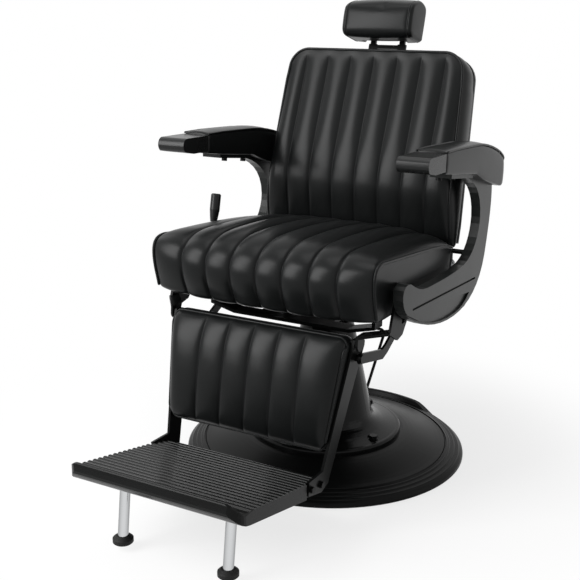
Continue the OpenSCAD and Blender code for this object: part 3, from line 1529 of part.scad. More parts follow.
module headrest_pad() {
    n = 12;
    rows = [for (i = [0:n])
        let (s = -1 + 2 * i / n, edge = 5 * pow(abs(s), 10), nrm = loop_normals(head_side))
        [for (j = [0:len(head_side) - 1])
            let (q = head_side[j] - nrm[j] * (edge + 3 * s * s)) [s * head_half, q[0], q[1]]]];
    color(leather) in_back_frame() difference() {
        padded(rows, 2);
        // pocket behind the pad for the carrier and the post
        translate([-carrier_x - 8, post_y - 34, head_low - 20])
            cube([2 * carrier_x + 16, 80, 78]);
        translate([-carrier_x - 4.2, post_y - 37.2, head_low + 8])
            cube([2 * carrier_x + 8.4, 4, 46]);
    }
}

// ---------------------------------------------------------------- assembly

base_plate();
floor_ring();
pump_cover();
cover_bolts();
pump_cylinder();
gland_bush();
wiper_seal();
pedal_bracket();
pedal_shaft();
foot_pedal();
ram();
piston();
piston_ring();
thrust_bearing();
spindle_nut();
swivel_hub();
seat_cradle();
seat_side_plates();
seat_cross_members();
seat_board();
seat_cushion();
tie_shaft();
arm_studs();
pivot_shaft();
arm_frame_left();
arm_frame_right();
arm_pad_left();
arm_pad_right();
arm_cap_left();
arm_cap_right();
arm_pad_bolts();
leg_hanger_left();
leg_hanger_right();
leg_pivot_pins();
lock_cylinder();
lock_rod();
lever_pivot();
recline_lever();
lever_grip();
back_side_plates();
back_cross_tubes();
back_board();
back_shell();
back_cushion();
headrest_guides();
headrest_post();
headrest_hinge_pin();
headrest_carrier();
headrest_pad();
leg_bar_left();
leg_bar_right();
leg_stretchers();
leg_board();
leg_pad();
foot_plate();
foot_plate_bolts();
foot_legs();
foot_pads();
push_link_left();
push_link_right();
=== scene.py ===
import math

import bmesh
import bpy
import numpy as np
from mathutils import Matrix


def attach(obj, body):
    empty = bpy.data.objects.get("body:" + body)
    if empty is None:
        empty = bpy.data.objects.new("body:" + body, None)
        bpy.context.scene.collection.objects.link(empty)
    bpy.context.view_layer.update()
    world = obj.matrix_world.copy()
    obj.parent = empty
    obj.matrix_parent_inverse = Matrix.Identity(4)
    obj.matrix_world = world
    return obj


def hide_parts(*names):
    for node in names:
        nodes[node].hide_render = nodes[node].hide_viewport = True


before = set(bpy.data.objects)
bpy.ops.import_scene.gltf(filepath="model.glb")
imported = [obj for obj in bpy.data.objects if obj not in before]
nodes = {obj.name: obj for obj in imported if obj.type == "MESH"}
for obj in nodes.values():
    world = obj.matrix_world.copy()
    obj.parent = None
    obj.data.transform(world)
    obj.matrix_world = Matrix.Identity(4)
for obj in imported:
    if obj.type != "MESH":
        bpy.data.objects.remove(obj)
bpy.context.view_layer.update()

# ---------------------------------------------------------------- base plate
# Round dome of pressed steel that carries the column, with three rolled rings near its rim.
# It is powder coated satin black, and the coating has a fine, even skin.


def place(tree, kind, inputs=(), **settings):
    """Adds one node to a shader tree. Each entry of inputs is a value or the output that feeds it."""
    made = tree.nodes.new("ShaderNode" + kind)
    for name, value in settings.items():
        setattr(made, name, value)
    for socket, value in dict(inputs).items():
        if isinstance(value, bpy.types.NodeSocket):
            tree.links.new(value, made.inputs[socket])
        else:
            made.inputs[socket].default_value = value
    return made


def effect(name, **usual):
    """Starts a group for one surface effect: its tree, the numbers that come in, each with its
    usual value, and the place on the piece that its pattern reads."""
    tree = bpy.data.node_groups.new(name, "ShaderNodeTree")
    for socket, value in usual.items():
        made = tree.interface.new_socket(socket, in_out="INPUT", socket_type="NodeSocketFloat")
        made.default_value = value
    for socket in ("Height", "Roughness", "Tint"):
        tree.interface.new_socket(socket, in_out="OUTPUT", socket_type="NodeSocketFloat")
    return tree, tree.nodes.new("NodeGroupInput").outputs, place(tree, "TexCoord").outputs["Object"]


def give_out(tree, coming_in, height, broad):
    """Ends an effect group. Height comes out as it is, the broad pattern b comes out as the tint,
    and the roughness is Rough + Swing (b - 0.5)."""
    centred = place(tree, "Math", {0: broad, 1: 0.5}, operation="SUBTRACT").outputs[0]
    rough = place(tree, "Math", {0: centred, 1: coming_in["Swing"], 2: coming_in["Rough"]},
                  operation="MULTIPLY_ADD").outputs[0]
    going_out = tree.nodes.new("NodeGroupOutput").inputs
    for socket, result in (("Height", height), ("Roughness", rough), ("Tint", broad)):
        tree.links.new(result, going_out[socket])


coat_skin, skin_in, spot = effect("coat_skin", Grain=700.0, Rough=0.4, Swing=0.06)
fine = place(coat_skin, "TexNoise", {"Vector": spot, "Scale": skin_in["Grain"], "Detail": 2.0})
broad = place(coat_skin, "TexNoise", {"Vector": spot, "Scale": 8.0, "Detail": 3.0})
give_out(coat_skin, skin_in, fine.outputs[0], broad.outputs[0])


def dressed(name, shades, skin, depth, **shader):
    """A material between two shades, whose grain and gloss come from one of the effect groups."""
    material = bpy.data.materials.new(name)
    material.use_nodes = True
    tree = material.node_tree
    tree.nodes.clear()
    group = place(tree, "Group", skin[1], node_tree=skin[0])
    shade = place(tree, "Mix", {0: group.outputs["Tint"], 6: (*shades[0], 1.0), 7: (*shades[1], 1.0)},
                  data_type="RGBA")
    grain = place(tree, "Bump", {"Height": group.outputs["Height"], "Distance": depth, "Strength": 1.0})
    shader = {key.replace("_", " "): value for key, value in shader.items()}
    surface = place(tree, "BsdfPrincipled", {
        "Base Color": shade.outputs[2], "Roughness": group.outputs["Roughness"],
        "Normal": grain.outputs["Normal"], **shader})
    place(tree, "OutputMaterial", {"Surface": surface.outputs[0]})
    return material


def cover(material, *names):
    """Gives CAD nodes one finish."""
    for name in names:
        nodes[name].data.materials.clear()
        nodes[name].data.materials.append(material)


powder_black = dressed(
    "powder_black", ((0.0028, 0.0030, 0.0030), (0.0042, 0.0045, 0.0044)),
    (coat_skin, {"Grain": 750.0, "Rough": 0.30, "Swing": 0.10}), 0.00003, Specular_IOR_Level=0.07)
cover(powder_black, "base_plate")

# ---------------------------------------------------------------- floor ring, seals and feet
# Rubber, moulded matt black: the ring under the base's rim, the wiper on the ram, the ring in
# its piston and the two discs under the foot plate's legs. It is paler than the painted steel.
rubber_black = dressed(
    "rubber_black", ((0.007, 0.007, 0.007), (0.011, 0.011, 0.0105)),
    (coat_skin, {"Grain": 380.0, "Rough": 0.62, "Swing": 0.12}), 0.00005, Specular_IOR_Level=0.20)
cover(rubber_black, "floor_ring", "wiper_seal", "piston_ring", "foot_pads")

# ---------------------------------------------------------------- pump cover and pedal
# Spun steel cone over the pump, screwed to the dome, and the pedal that works the pump.
# Both are stove enamelled gloss black, with a thin clear layer over the colour.
enamel_black = dressed(
    "enamel_black", ((0.0028, 0.0030, 0.0030), (0.0040, 0.0043, 0.0043)),
    (coat_skin, {"Grain": 240.0, "Rough": 0.20, "Swing": 0.08}), 0.00001,
    Specular_IOR_Level=0.09, Coat_Weight=0.04, Coat_Roughness=0.06)
cover(enamel_black, "pump_cover", "cover_bolts", "pedal_bracket", "foot_pedal")

# ---------------------------------------------------------------- turned steel
# Cylinder, pins, nuts and shafts, turned on a lathe and left bright under a film of oil.
# Fine rings from the tool run round each piece.
tool_marks, marks_in, spot = effect("tool_marks", Grain=900.0, Rough=0.3, Swing=0.1)
drawn_out = place(tool_marks, "Mapping", {"Vector": spot, "Scale": (1.0, 0.06, 0.06)}).outputs[0]
rings = place(tool_marks, "TexNoise", {"Vector": drawn_out, "Scale": marks_in["Grain"], "Detail": 2.0})
haze = place(tool_marks, "TexNoise", {"Vector": spot, "Scale": 22.0, "Detail": 3.0})
give_out(tool_marks, marks_in, rings.outputs[0], haze.outputs[0])

turned_steel = dressed(
    "turned_steel", ((0.40, 0.41, 0.42), (0.50, 0.51, 0.52)),
    (tool_marks, {"Rough": 0.30, "Swing": 0.14}), 0.00001, Metallic=1.0)
cover(turned_steel, "pump_cylinder", "pedal_shaft", "piston", "thrust_bearing", "spindle_nut",
      "pivot_shaft", "lock_cylinder", "lever_pivot", "headrest_hinge_pin")

# ---------------------------------------------------------------- ram, shafts and legs
# Ground and hard chromed steel: the ram, the shaft at the front of the seat, the lock's rod and
# the two legs under the foot plate. Its colour is painted darker where the surface turns away
# from the view, a painted dark reflection that the white surround would not give.
chrome = dressed(
    "chrome", ((0.62, 0.63, 0.64), (0.72, 0.73, 0.74)),
    (coat_skin, {"Grain": 60.0, "Rough": 0.11, "Swing": 0.05}), 0.000004, Metallic=1.0)
tree = chrome.node_tree
surface = tree.nodes["Principled BSDF"]
bright = surface.inputs["Base Color"].links[0].from_socket
# Painted dark reflection: the colour falls to near black towards grazing angles.
painted_dark_reflection = place(tree, "LayerWeight", {"Blend": 0.5}).outputs["Facing"]
shade = place(tree, "Mix", {0: painted_dark_reflection, 6: bright, 7: (0.09, 0.092, 0.095, 1.0)}, data_type="RGBA")
tree.links.new(shade.outputs[2], surface.inputs["Base Color"])
cover(chrome, "ram", "tie_shaft", "lock_rod", "foot_legs")

# ---------------------------------------------------------------- gland bush
# Bronze sleeve, turned and pressed into the top of the pump, that the ram slides in. It has the
# turned steel's tool marks.
bearing_bronze = dressed(
    "bearing_bronze", ((0.40, 0.26, 0.12), (0.48, 0.32, 0.16)),
    (tool_marks, {"Rough": 0.34, "Swing": 0.1}), 0.00001, Metallic=1.0)
cover(bearing_bronze, "gland_bush")

# ---------------------------------------------------------------- plates and tubes of the frame
# Laser cut plate and round tube under the seat, behind the back and down the leg rest, powder
# coated satin black after welding. The finish is the base plate's.
cover(powder_black, "swivel_hub", "seat_cradle", "seat_side_plates", "seat_cross_members",
      "leg_hanger_left", "leg_hanger_right", "back_side_plates", "back_cross_tubes",
      "headrest_guides", "headrest_post", "headrest_carrier", "leg_bar_left", "leg_bar_right",
      "leg_stretchers", "push_link_left", "push_link_right", "recline_lever", "foot_plate_bolts",
      "arm_pad_bolts", "arm_studs", "leg_pivot_pins")

# ---------------------------------------------------------------- boards
# Birch plywood panels inside the seat, the back and the leg rest, stained black on both faces
# and along their edges so that they don't show behind the leather.
board_grain, board_in, spot = effect("board_grain", Grain=160.0, Rough=0.6, Swing=0.15)
along = place(board_grain, "Mapping", {"Vector": spot, "Scale": (1.0, 0.08, 0.08)}).outputs[0]
veins = place(board_grain, "TexNoise", {
    "Vector": along, "Scale": board_in["Grain"], "Detail": 4.0, "Roughness": 0.6}).outputs[0]
give_out(board_grain, board_in, veins, veins)

stained_ply = dressed(
    "stained_ply", ((0.010, 0.009, 0.008), (0.030, 0.026, 0.022)),
    (board_grain, {"Grain": 160.0, "Rough": 0.6, "Swing": 0.15}), 0.0001)
cover(stained_ply, "seat_board", "back_board", "leg_board")

# ---------------------------------------------------------------- arm castings
# One aluminium casting a side, a flat C with a raised band, a recessed fan and a groove.
# The paint is a fine satin black that shows greyer than the leather where it faces the light.
cast_black = dressed(
    "cast_black", ((0.010, 0.0110, 0.0107), (0.015, 0.0163, 0.0159)),
    (coat_skin, {"Grain": 900.0, "Rough": 0.30, "Swing": 0.10}), 0.00003, Specular_IOR_Level=0.13)
cover(cast_black, "arm_frame_left", "arm_frame_right")

# ---------------------------------------------------------------- foot plate
# Aluminium casting with eighteen ribs across it and a turned up lip, painted satin black.
ribbed_black = dressed(
    "ribbed_black", ((0.003, 0.0032, 0.0031), (0.005, 0.0053, 0.0052)),
    (coat_skin, {"Grain": 650.0, "Rough": 0.26, "Swing": 0.12}), 0.00004, Specular_IOR_Level=0.10)
cover(ribbed_black, "foot_plate")

# ---------------------------------------------------------------- arm noses and lever grip
# Moulded smooth in satin black plastic: the rounded nose in front of each arm pad, and the
# handle on the recline lever.
moulded_black = dressed(
    "moulded_black", ((0.007, 0.0073, 0.0073), (0.010, 0.0104, 0.0104)),
    (coat_skin, {"Grain": 1100.0, "Rough": 0.28, "Swing": 0.06}), 0.000015, Specular_IOR_Level=0.20)
cover(moulded_black, "arm_cap_left", "arm_cap_right", "lever_grip")

# ---------------------------------------------------------------- leather
# Black upholstery leather, sealed with a soft satin coat over a fine pebbled grain.
# The grain is cells about a millimetre and a half across, broken up by finer creases.
hide_grain, hide_in, spot = effect("hide_grain", Grain=640.0, Rough=0.4, Swing=0.1)
pebbles = place(hide_grain, "TexVoronoi", {"Vector": spot, "Scale": hide_in["Grain"], "Smoothness": 0.5},
                feature="SMOOTH_F1")
creases = place(hide_grain, "TexNoise", {"Vector": spot, "Scale": 210.0, "Detail": 4.0})
height = place(hide_grain, "Math", {0: pebbles.outputs["Distance"], 1: 0.7, 2: creases.outputs[0]},
               operation="MULTIPLY_ADD")
broad = place(hide_grain, "TexNoise", {"Vector": spot, "Scale": 6.0, "Detail": 3.0})
give_out(hide_grain, hide_in, height.outputs[0], broad.outputs[0])

black_leather = dressed(
    "black_leather", ((0.0050, 0.0055, 0.0055), (0.0074, 0.0080, 0.0081)),
    (hide_grain, {"Grain": 640.0, "Rough": 0.31, "Swing": 0.10}), 0.00005, Specular_IOR_Level=0.12)
cover(black_leather, "back_shell")

# ---------------------------------------------------------------- seat cushion
# Moulded foam over the seat box, wrapped in leather that is sewn down in eight channels from the
# rear over the front edge. Flat boxed sides are joined to it with a piped seam.


def bezier(corners, steps):
    """Cubic arcs end to end, four control points each with shared ends, cut into their own steps."""
    corners = np.array(corners, float)
    line = []
    for k, count in enumerate(steps):
        a, b, c, d = corners[3 * k:3 * k + 4]
        t = (np.arange(count) / count)[:, None]
        line.append((1 - t)**3 * a + 3 * t * (1 - t)**2 * b + 3 * t * t * (1 - t) * c + t**3 * d)
    return np.vstack([*line, corners[-1:]])


def evenly(corners, count):
    """Points along a broken line, evenly spaced by its length, both ends among them."""
    corners = np.array(corners, float)
    run = np.r_[0, np.cumsum(np.linalg.norm(np.diff(corners, axis=0), axis=1))]
    at = np.linspace(0, run[-1], count)
    return np.stack([np.interp(at, run, corners[:, k]) for k in range(corners.shape[1])], axis=1)


def stations(seams, rounded=0.0):
    """Places across a pad in millimetres, close together beside each seam. Where the outer corners
    are rounded with that radius, the sines of the corner's angle add their own. Places that fall
    within 0.7 mm of a seam or 0.5 mm of each other are left out."""
    within = np.array([-1, -0.95, -0.86, -0.7, -0.45, -0.15, 0.15, 0.45, 0.7, 0.86, 0.95])
    places = (seams[:-1, None] + (within + 1) / 2 * np.diff(seams)[:, None]).ravel()
    outer = seams[-1] - rounded * (1 - np.sin(np.linspace(0, math.pi / 2, 12)))
    places = np.unique(np.r_[places, outer, -outer].round(3))
    near = np.abs(places[:, None] - seams).min(axis=1)
    places = places[(near > 0.7) & (np.diff(places, prepend=-1e4) > 0.5)]
    return np.sort(np.r_[places, seams])


def in_channel(places, seams):
    """0 on the ridge of a channel and 1 in the seams at its sides."""
    k = np.clip(np.searchsorted(seams, places, side="right") - 1, 0, len(seams) - 2)
    return np.abs((places - seams[k]) / (seams[k + 1] - seams[k]) * 2 - 1)


def drawn_in(v):
    """How far a sewn channel is drawn in, from 0 on its ridge to 1 in its seams: (v^2 + v^16) / 2."""
    return (v**2 + v**16) / 2


def sewn_rows(side, middle, half, sewn, places, seams, depth):
    """Closed loops across a pad. The loop at the sides swells to the middle one by 1 - s^4, with s
    from -1 to 1 across the pad. Each point then moves in along its normal by depth times how far
    the channel is drawn in at that place, and times sewn, which says where the seams run."""
    swell = (1 - np.abs(places / half)**4)[:, None, None]
    loops = side * (1 - swell) + middle * swell
    ahead = np.roll(loops, -1, axis=1) - np.roll(loops, 1, axis=1)
    ahead /= np.linalg.norm(ahead, axis=2, keepdims=True)
    y, z = side.T
    turn = np.sign(np.sum(y * np.roll(z, -1) - z * np.roll(y, -1)))
    inward = -turn * np.stack([ahead[..., 1], -ahead[..., 0]], axis=2)
    draw = depth * drawn_in(in_channel(places, seams))
    loops = loops + inward * draw[:, None, None] * sewn[None, :, None]
    across = np.repeat(places[:, None], len(side), axis=1)
    return np.dstack([across, loops])


def closed_loop(face, rear):
    """One loop from a face line and a rear line that share both ends and have as many points."""
    return np.vstack([face, rear[-2:0:-1]])


def quads(ids):
    """Four cornered faces over a grid of vertex numbers."""
    return np.stack([ids[:-1, :-1], ids[:-1, 1:], ids[1:, 1:], ids[1:, :-1]], axis=-1).reshape(-1, 4)


def piece_of(name, points, faces):
    """A smooth shaded piece from points in millimetres, with its faces turned outwards."""
    mesh = bpy.data.meshes.new(name)
    mesh.from_pydata((np.asarray(points) * 0.001).tolist(), [], [list(dict.fromkeys(f)) for f in faces])
    shape = bmesh.new()
    shape.from_mesh(mesh)
    bmesh.ops.recalc_face_normals(shape, faces=shape.faces)
    shape.to_mesh(mesh)
    shape.free()
    mesh.shade_smooth()
    piece = bpy.data.objects.new(name, mesh)
    bpy.context.scene.collection.objects.link(piece)
    return piece


def boxed_block(name, rows, recess, puff, strips=8):
    """A pad from its loops, closed at both ends by a boxed panel that is ruled between the face
    line and the rear line. The panel is set in by recess, and swells by puff 4 t (1 - t) sqrt(sin
    pi u), with t going from the face line to the rear line and u along them, from 0 to 1."""
    count, around, _ = rows.shape
    face_end = around // 2
    wrap = np.arange(count * around).reshape(count, around)
    faces = [quads(np.column_stack([wrap, wrap[:, 0]]))]
    points = [rows.reshape(-1, 3)]
    used = count * around
    t = np.linspace(0, 1, strips + 1)[1:-1, None]
    dome = 4 * t * (1 - t)
    for end, side in ((0, -1), (count - 1, 1)):
        face_ids = wrap[end, :face_end + 1]
        rear_ids = np.r_[wrap[end, 0], wrap[end, :face_end:-1], wrap[end, face_end]]
        front, back = (points[0][ids[1:-1]] for ids in (face_ids, rear_ids))
        middle = front + (back - front) * t[:, :, None]
        fade = np.sin(np.linspace(0, math.pi, face_end + 1))[1:-1]**0.5
        middle[..., 0] += side * (puff * dome * fade - recess)
        inner = used + np.arange(middle[..., 0].size).reshape(strips - 1, face_end - 1)
        corner = np.ones(strips - 1, int)
        grid = np.vstack([face_ids, np.column_stack(
            [corner * face_ids[0], inner, corner * face_ids[-1]]), rear_ids])
        faces.append(quads(grid))
        points.append(middle.reshape(-1, 3))
        used += inner.size
    return piece_of(name, np.vstack(points), np.vstack(faces).tolist())


def plump(piece, free, cap, pressure=4.0):
    """Blows the leather out between its seams by a short cloth run under pressure, without
    gravity. Only the free points move, and none of them further than cap, in millimetres."""
    total = len(piece.data.vertices)
    held = np.ones(total, bool)
    held[:free.size] = ~free.ravel()
    piece.vertex_groups.new(name="sewn").add(np.flatnonzero(held).tolist(), 1.0, "REPLACE")
    cloth = piece.modifiers.new("leather", "CLOTH")
    cloth.settings.vertex_group_mass = "sewn"
    cloth.settings.quality = 5
    cloth.settings.use_pressure = True
    cloth.settings.uniform_pressure_force = pressure
    cloth.settings.effector_weights.gravity = 0.0
    cloth.collision_settings.use_collision = False
    for step in range(1, 21):
        bpy.context.scene.frame_set(step)
    blown = piece.evaluated_get(bpy.context.evaluated_depsgraph_get()).data
    before, after = np.empty(total * 3, np.float32), np.empty(total * 3, np.float32)
    piece.data.vertices.foreach_get("co", before)
    blown.vertices.foreach_get("co", after)
    move = (after - before).reshape(-1, 3)
    length = np.linalg.norm(move, axis=1, keepdims=True)
    move *= np.minimum(1.0, cap * 0.001 / np.maximum(length, 1e-9))
    piece.modifiers.remove(cloth)
    piece.vertex_groups.clear()
    piece.data.vertices.foreach_set("co", before + move.ravel())
    piece.data.update()
    bpy.context.scene.frame_set(1)


def between_seams(places, seams, sewn):
    """True for the points of a pad's loops that lie off the seams, on its sewn face."""
    return (in_channel(places, seams) < 0.999)[:, None] & (sewn > 0.5)[None, :]


def in_leather(piece, body, *stands_for):
    """Dresses a piece in the leather, ties it to its body and hides the CAD nodes it replaces."""
    piece.data.materials.append(black_leather)
    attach(piece, body)
    if stands_for:
        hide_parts(*stands_for)


def rounded_off(piece):
    """Smooths a piece by one subdivision."""
    smooth = piece.modifiers.new("smooth", "SUBSURF")
    smooth.levels = smooth.render_levels = 1


def carved(piece, low, high):
    """Cuts a box between two corners in millimetres out of a piece, and applies its modifiers."""
    low, high = np.array(low, float), np.array(high, float)
    corners = np.array(np.meshgrid([0, 1], [0, 1], [0, 1], indexing="ij")).reshape(3, -1).T
    sides = [(0, 1, 3, 2), (4, 6, 7, 5), (0, 4, 5, 1), (2, 3, 7, 6), (0, 2, 6, 4), (1, 5, 7, 3)]
    cutter = piece_of("cutter", low + corners * (high - low), sides)
    cut = piece.modifiers.new("cut", "BOOLEAN")
    cut.object, cut.operation, cut.solver = cutter, "DIFFERENCE", "EXACT"
    bpy.context.view_layer.update()
    made = bpy.data.meshes.new_from_object(piece.evaluated_get(bpy.context.evaluated_depsgraph_get()))
    piece.modifiers.clear()
    piece.data = made
    bpy.data.objects.remove(cutter)


def piping(name, path, radius, across, closed=False, sides=10):
    """A round cord in leather along a path: a circle of points in the plane of `across` and of the
    path's own side direction. An open cord narrows to its ends."""
    path = np.asarray(path, float)
    if closed:
        ahead = np.roll(path, -1, axis=0) - np.roll(path, 1, axis=0)
    else:
        ahead = np.gradient(path, axis=0)
    ahead /= np.linalg.norm(ahead, axis=1, keepdims=True)
    outward = np.cross(ahead, np.asarray(across, float))
    outward /= np.linalg.norm(outward, axis=1, keepdims=True)
    upward = np.cross(outward, ahead)
    turn = np.linspace(0, 2 * math.pi, sides, endpoint=False)
    width = np.full(len(path), radius)
    if not closed:
        width[[0, -1]] = 0.15 * radius
    ring = (np.cos(turn)[None, :, None] * outward[:, None] + np.sin(turn)[None, :, None] * upward[:, None])
    points = path[:, None] + ring * width[:, None, None]
    ids = np.arange(len(path) * sides).reshape(len(path), sides)
    ids = np.column_stack([ids, ids[:, 0]])
    if closed:
        ids = np.vstack([ids, ids[:1]])
    faces = quads(ids).tolist()
    if not closed:
        faces += [ids[0, :-1].tolist(), ids[-1, :-1].tolist()]
    return piece_of(name, points.reshape(-1, 3), faces)


# Lengths are in millimetres, here and in the pads below.
SEAT_HALF = 270.0  # half of the width
SEAT_CHANNEL = 63.33  # from one seam to the next
SEAT_DEPTH = 9.0  # how deep a seam is drawn in
SEAT_RECESS = 3.0  # how far the boxed ends stand in at their edges
SEAT_PUFF = 5.0  # how far they swell out between them
SEAT_GIVE = 5.0  # how far the cloth may move
SEAT_PIPING = 3.5  # radius of the cords
SEAT_HOLLOW = ((-258, -264, 440), (258, 140, 521))  # room for the board and the cross members
seat_seams = np.array([-SEAT_HALF, *(SEAT_CHANNEL * np.arange(-3, 4)), SEAT_HALF])
# The face's outline at the sides and in the middle, as y and z: from the rear over the top and
# the rounded nose to the lower front edge.
seat_face_side = bezier(
    [(122, 531), (70, 556), (-150, 568), (-302, 583), (-334, 584), (-350, 572), (-351, 546),
     (-352, 520), (-342, 492), (-336, 470), (-334, 458), (-328, 454), (-312, 453)], (24, 11, 11, 7))
seat_face_middle = bezier(
    [(122, 562), (50, 586), (-110, 601), (-248, 599), (-312, 598), (-359, 576), (-364, 532),
     (-366, 506), (-354, 480), (-343, 462), (-340, 450), (-330, 443), (-312, 443)], (24, 11, 11, 7))
count = len(seat_face_side)
seat_side = closed_loop(seat_face_side, evenly(
    [(122, 531), (122, 452), (-60, 452), (-264, 452), (-312, 453)], count))
seat_middle = closed_loop(seat_face_middle, evenly(
    [(122, 562), (122, 452), (-60, 452), (-264, 452), (-312, 443)], count))
# The channels run over the face and fade out under its front edge.
seat_sewn = np.zeros(len(seat_side))
seat_sewn[:count] = 1.0
seat_sewn[count - 5:count] = (0.9, 0.75, 0.5, 0.25, 0.0)
places = stations(seat_seams)
rows = sewn_rows(seat_side, seat_middle, SEAT_HALF, seat_sewn, places, seat_seams, SEAT_DEPTH)
seat = boxed_block("seat_cushion_leather", rows, SEAT_RECESS, SEAT_PUFF)
plump(seat, between_seams(places, seat_seams, seat_sewn), SEAT_GIVE)
rounded_off(seat)
carved(seat, *SEAT_HOLLOW)
in_leather(seat, "seat", "seat_cushion")
# Each cord lies between its end loop as drawn in and as cut, 1.5 mm outside it, and stops three
# points before the face ends.
for side, row in (("right", rows[0]), ("left", rows[-1])):
    undrawn = np.column_stack([row[:, 0], seat_side])
    proud = (row * 0.7 + undrawn * 0.3)[:count - 3]
    proud[:, 0] *= 1 + 1.5 / SEAT_HALF
    cord = piping(f"seat_piping_{side}", proud, SEAT_PIPING, (1, 0, 0))
    in_leather(cord, "seat")

# ---------------------------------------------------------------- leg rest pad
# Flat pad on its own board, sewn in six upright channels, with piping round its whole face and a
# boxed edge behind the piping that swells a little between its seams.


def leaned(points, pivot, degrees):
    """Points of a part that leans back about an axis along X through pivot, from its own upright
    frame to the chair's."""
    c, s = math.cos(math.radians(degrees)), math.sin(math.radians(degrees))
    x, y, z = np.moveaxis(np.asarray(points, float), -1, 0)
    return np.stack([x, pivot[0] + y * c + z * s, pivot[1] + z * c - y * s], axis=-1)


def levels(low, top, roll, count):
    """Heights from low to top, closer together where the face rolls in to its ends."""
    ends = roll * (1 - np.cos(np.linspace(0, math.pi / 2, 7)))
    return np.r_[low + ends, np.linspace(low + roll, top - roll, count)[1:-1], top - ends[::-1]]


def padded_face(places, seams, heights, half, level, edge, ridge, sewn, roll=24.0):
    """Front grid of an upright pad. Its depth is e + q (l - e + h (1 - w d)): e at the piping and l
    in the seams, both by height, h the rise of the ridges, d how far a channel is drawn in, w
    falling to 0 where the seams run out, and q a quarter circle that rolls the face in behind
    its edges. Only the outer channels take up the pad's change in width."""
    last, widest = seams[-2], seams[-1]
    size = np.abs(places)[:, None] + np.zeros_like(heights)
    size = np.where(size > last, last + (size - last) * (half - last) / (widest - last), size)
    near_side = np.clip((half - size) / roll, 0, 1)
    near_end = np.clip(np.minimum(heights - heights[0], heights[-1] - heights) / roll, 0, 1)
    q = np.sqrt(1 - (1 - near_side)**2) * np.sqrt(1 - (1 - near_end)**2)
    draw = sewn * drawn_in(in_channel(places, seams))[:, None]
    depth = edge + q * (level - edge + ridge * (1 - draw))
    return np.dstack([np.sign(places)[:, None] * size, -depth, heights + np.zeros_like(size)])


def round_corners(grid, half, low, top, radius):
    """Rounds the corners of a pad: near an end of its width each point is drawn towards the
    middle of its height by r - sqrt(r^2 - d^2), d being how far it is past the corner's start."""
    x, y, z = np.moveaxis(grid, -1, 0)
    past = np.clip(np.abs(x) - (half - radius), 0, radius)
    drop = radius - np.sqrt(radius**2 - past**2)
    up = np.clip(1 - (top - z) / (1.6 * radius), 0, 1)
    down = np.clip(1 - (z - low) / (1.6 * radius), 0, 1)
    return np.stack([x, y, z - drop * up + drop * down], axis=-1)


def outline_of(ids):
    """The vertex numbers round the edge of a grid, in order."""
    return np.r_[ids[:, 0], ids[-1, 1:], ids[-2::-1, -1], ids[0, -2:0:-1]]


def boxed_pad(name, front, rear, puff):
    """A pad from a front and a rear grid, with boxing between their outlines. The boxing sinks
    behind the piping, then swells away from the pad's middle by up to puff. Gives the outline too."""
    ids = np.arange(front[..., 0].size).reshape(front.shape[:2])
    loop = outline_of(ids)
    a, b = front.reshape(-1, 3)[loop], rear.reshape(-1, 3)[loop]
    ahead = np.roll(a, -1, axis=0) - np.roll(a, 1, axis=0)
    outward = np.cross(ahead, b - a)
    outward /= np.linalg.norm(outward, axis=1, keepdims=True)
    outward *= np.sign(np.sum(outward * (a - a.mean(axis=0))))
    t = np.array([0.06, 0.16, 0.32, 0.52, 0.72, 0.9])[:, None, None]
    swell = np.array([-0.5, 0.35, 0.9, 1.0, 0.75, 0.25])[:, None, None]
    band = a + (b - a) * t + outward * puff * swell
    first = 2 * ids.size
    strips = first + np.arange(band[..., 0].size).reshape(band.shape[:2])
    strips = np.vstack([loop, strips, loop + ids.size])
    faces = [quads(ids), quads(ids + ids.size), quads(np.column_stack([strips, strips[:, 0]]))]
    points = np.vstack([front.reshape(-1, 3), rear.reshape(-1, 3), band.reshape(-1, 3)])
    return piece_of(name, points, np.vstack(faces).tolist()), a + outward


def off_the_seams(places, seams, sewn):
    """True for the points of a pad's front grid that lie inside its outline and off its seams."""
    free = (in_channel(places, seams) < 0.999)[:, None] | (sewn < 0.5)[None, :]
    free[[0, -1], :] = False
    free[:, [0, -1]] = False
    return free


LEG_PIVOT = (-320.0, 402.0)  # the pin that the leg rest hangs on, as y and z in the chair
LEG_LEAN = 12.7  # degrees
LEG_LOW = -231.0  # lower edge, up from the pin
LEG_TOP = 9.5
LEG_CORNER = 18.0  # radius of the four corners
LEG_HALF = 214.0  # half of the width at the top
LEG_FOOT_HALF = 195.0  # and at the bottom
LEG_ROLL = 30.0  # how far in from the edges the face rolls over
LEG_RIDGE = 6.5  # how far the ridges rise over the seams
LEG_REAR = 20.0  # the flat face that lies on the board, behind the pin
LEG_PUFF = 5.0  # swell of the boxing
LEG_GIVE = 4.5  # how far the cloth may move
LEG_PIPING = 2.6  # radius of the cord
leg_seams = np.array([-LEG_HALF, *(62.0 * np.arange(-2, 3)), LEG_HALF])
heights = levels(LEG_LOW, LEG_TOP, LEG_ROLL, 16)
half = np.interp(heights, (LEG_LOW, LEG_TOP), (LEG_FOOT_HALF, LEG_HALF))
level = np.interp(heights, (-231, -198, -158, -120, -85, -48, -25, -9, 9),
                  (34, 42, 47, 50, 51, 49, 44, 38, 32))
edge = np.interp(heights, (-231, -221, -20, 0, 9), (24, 34, 34, 30, 24))
sewn = np.interp(heights, (-231, -225, 3, 9), (0.4, 1, 1, 0.3))
places = stations(leg_seams, LEG_CORNER)
front = padded_face(places, leg_seams, heights, half, level, edge, LEG_RIDGE, sewn, LEG_ROLL)
rear = front.copy()
rear[..., 1] = LEG_REAR
front, rear = (round_corners(grid, half, LEG_LOW, LEG_TOP, LEG_CORNER) for grid in (front, rear))
front, rear = (leaned(grid, LEG_PIVOT, LEG_LEAN) for grid in (front, rear))
leg_pad, rim = boxed_pad("leg_pad_leather", front, rear, LEG_PUFF)
plump(leg_pad, off_the_seams(places, leg_seams, sewn), LEG_GIVE)
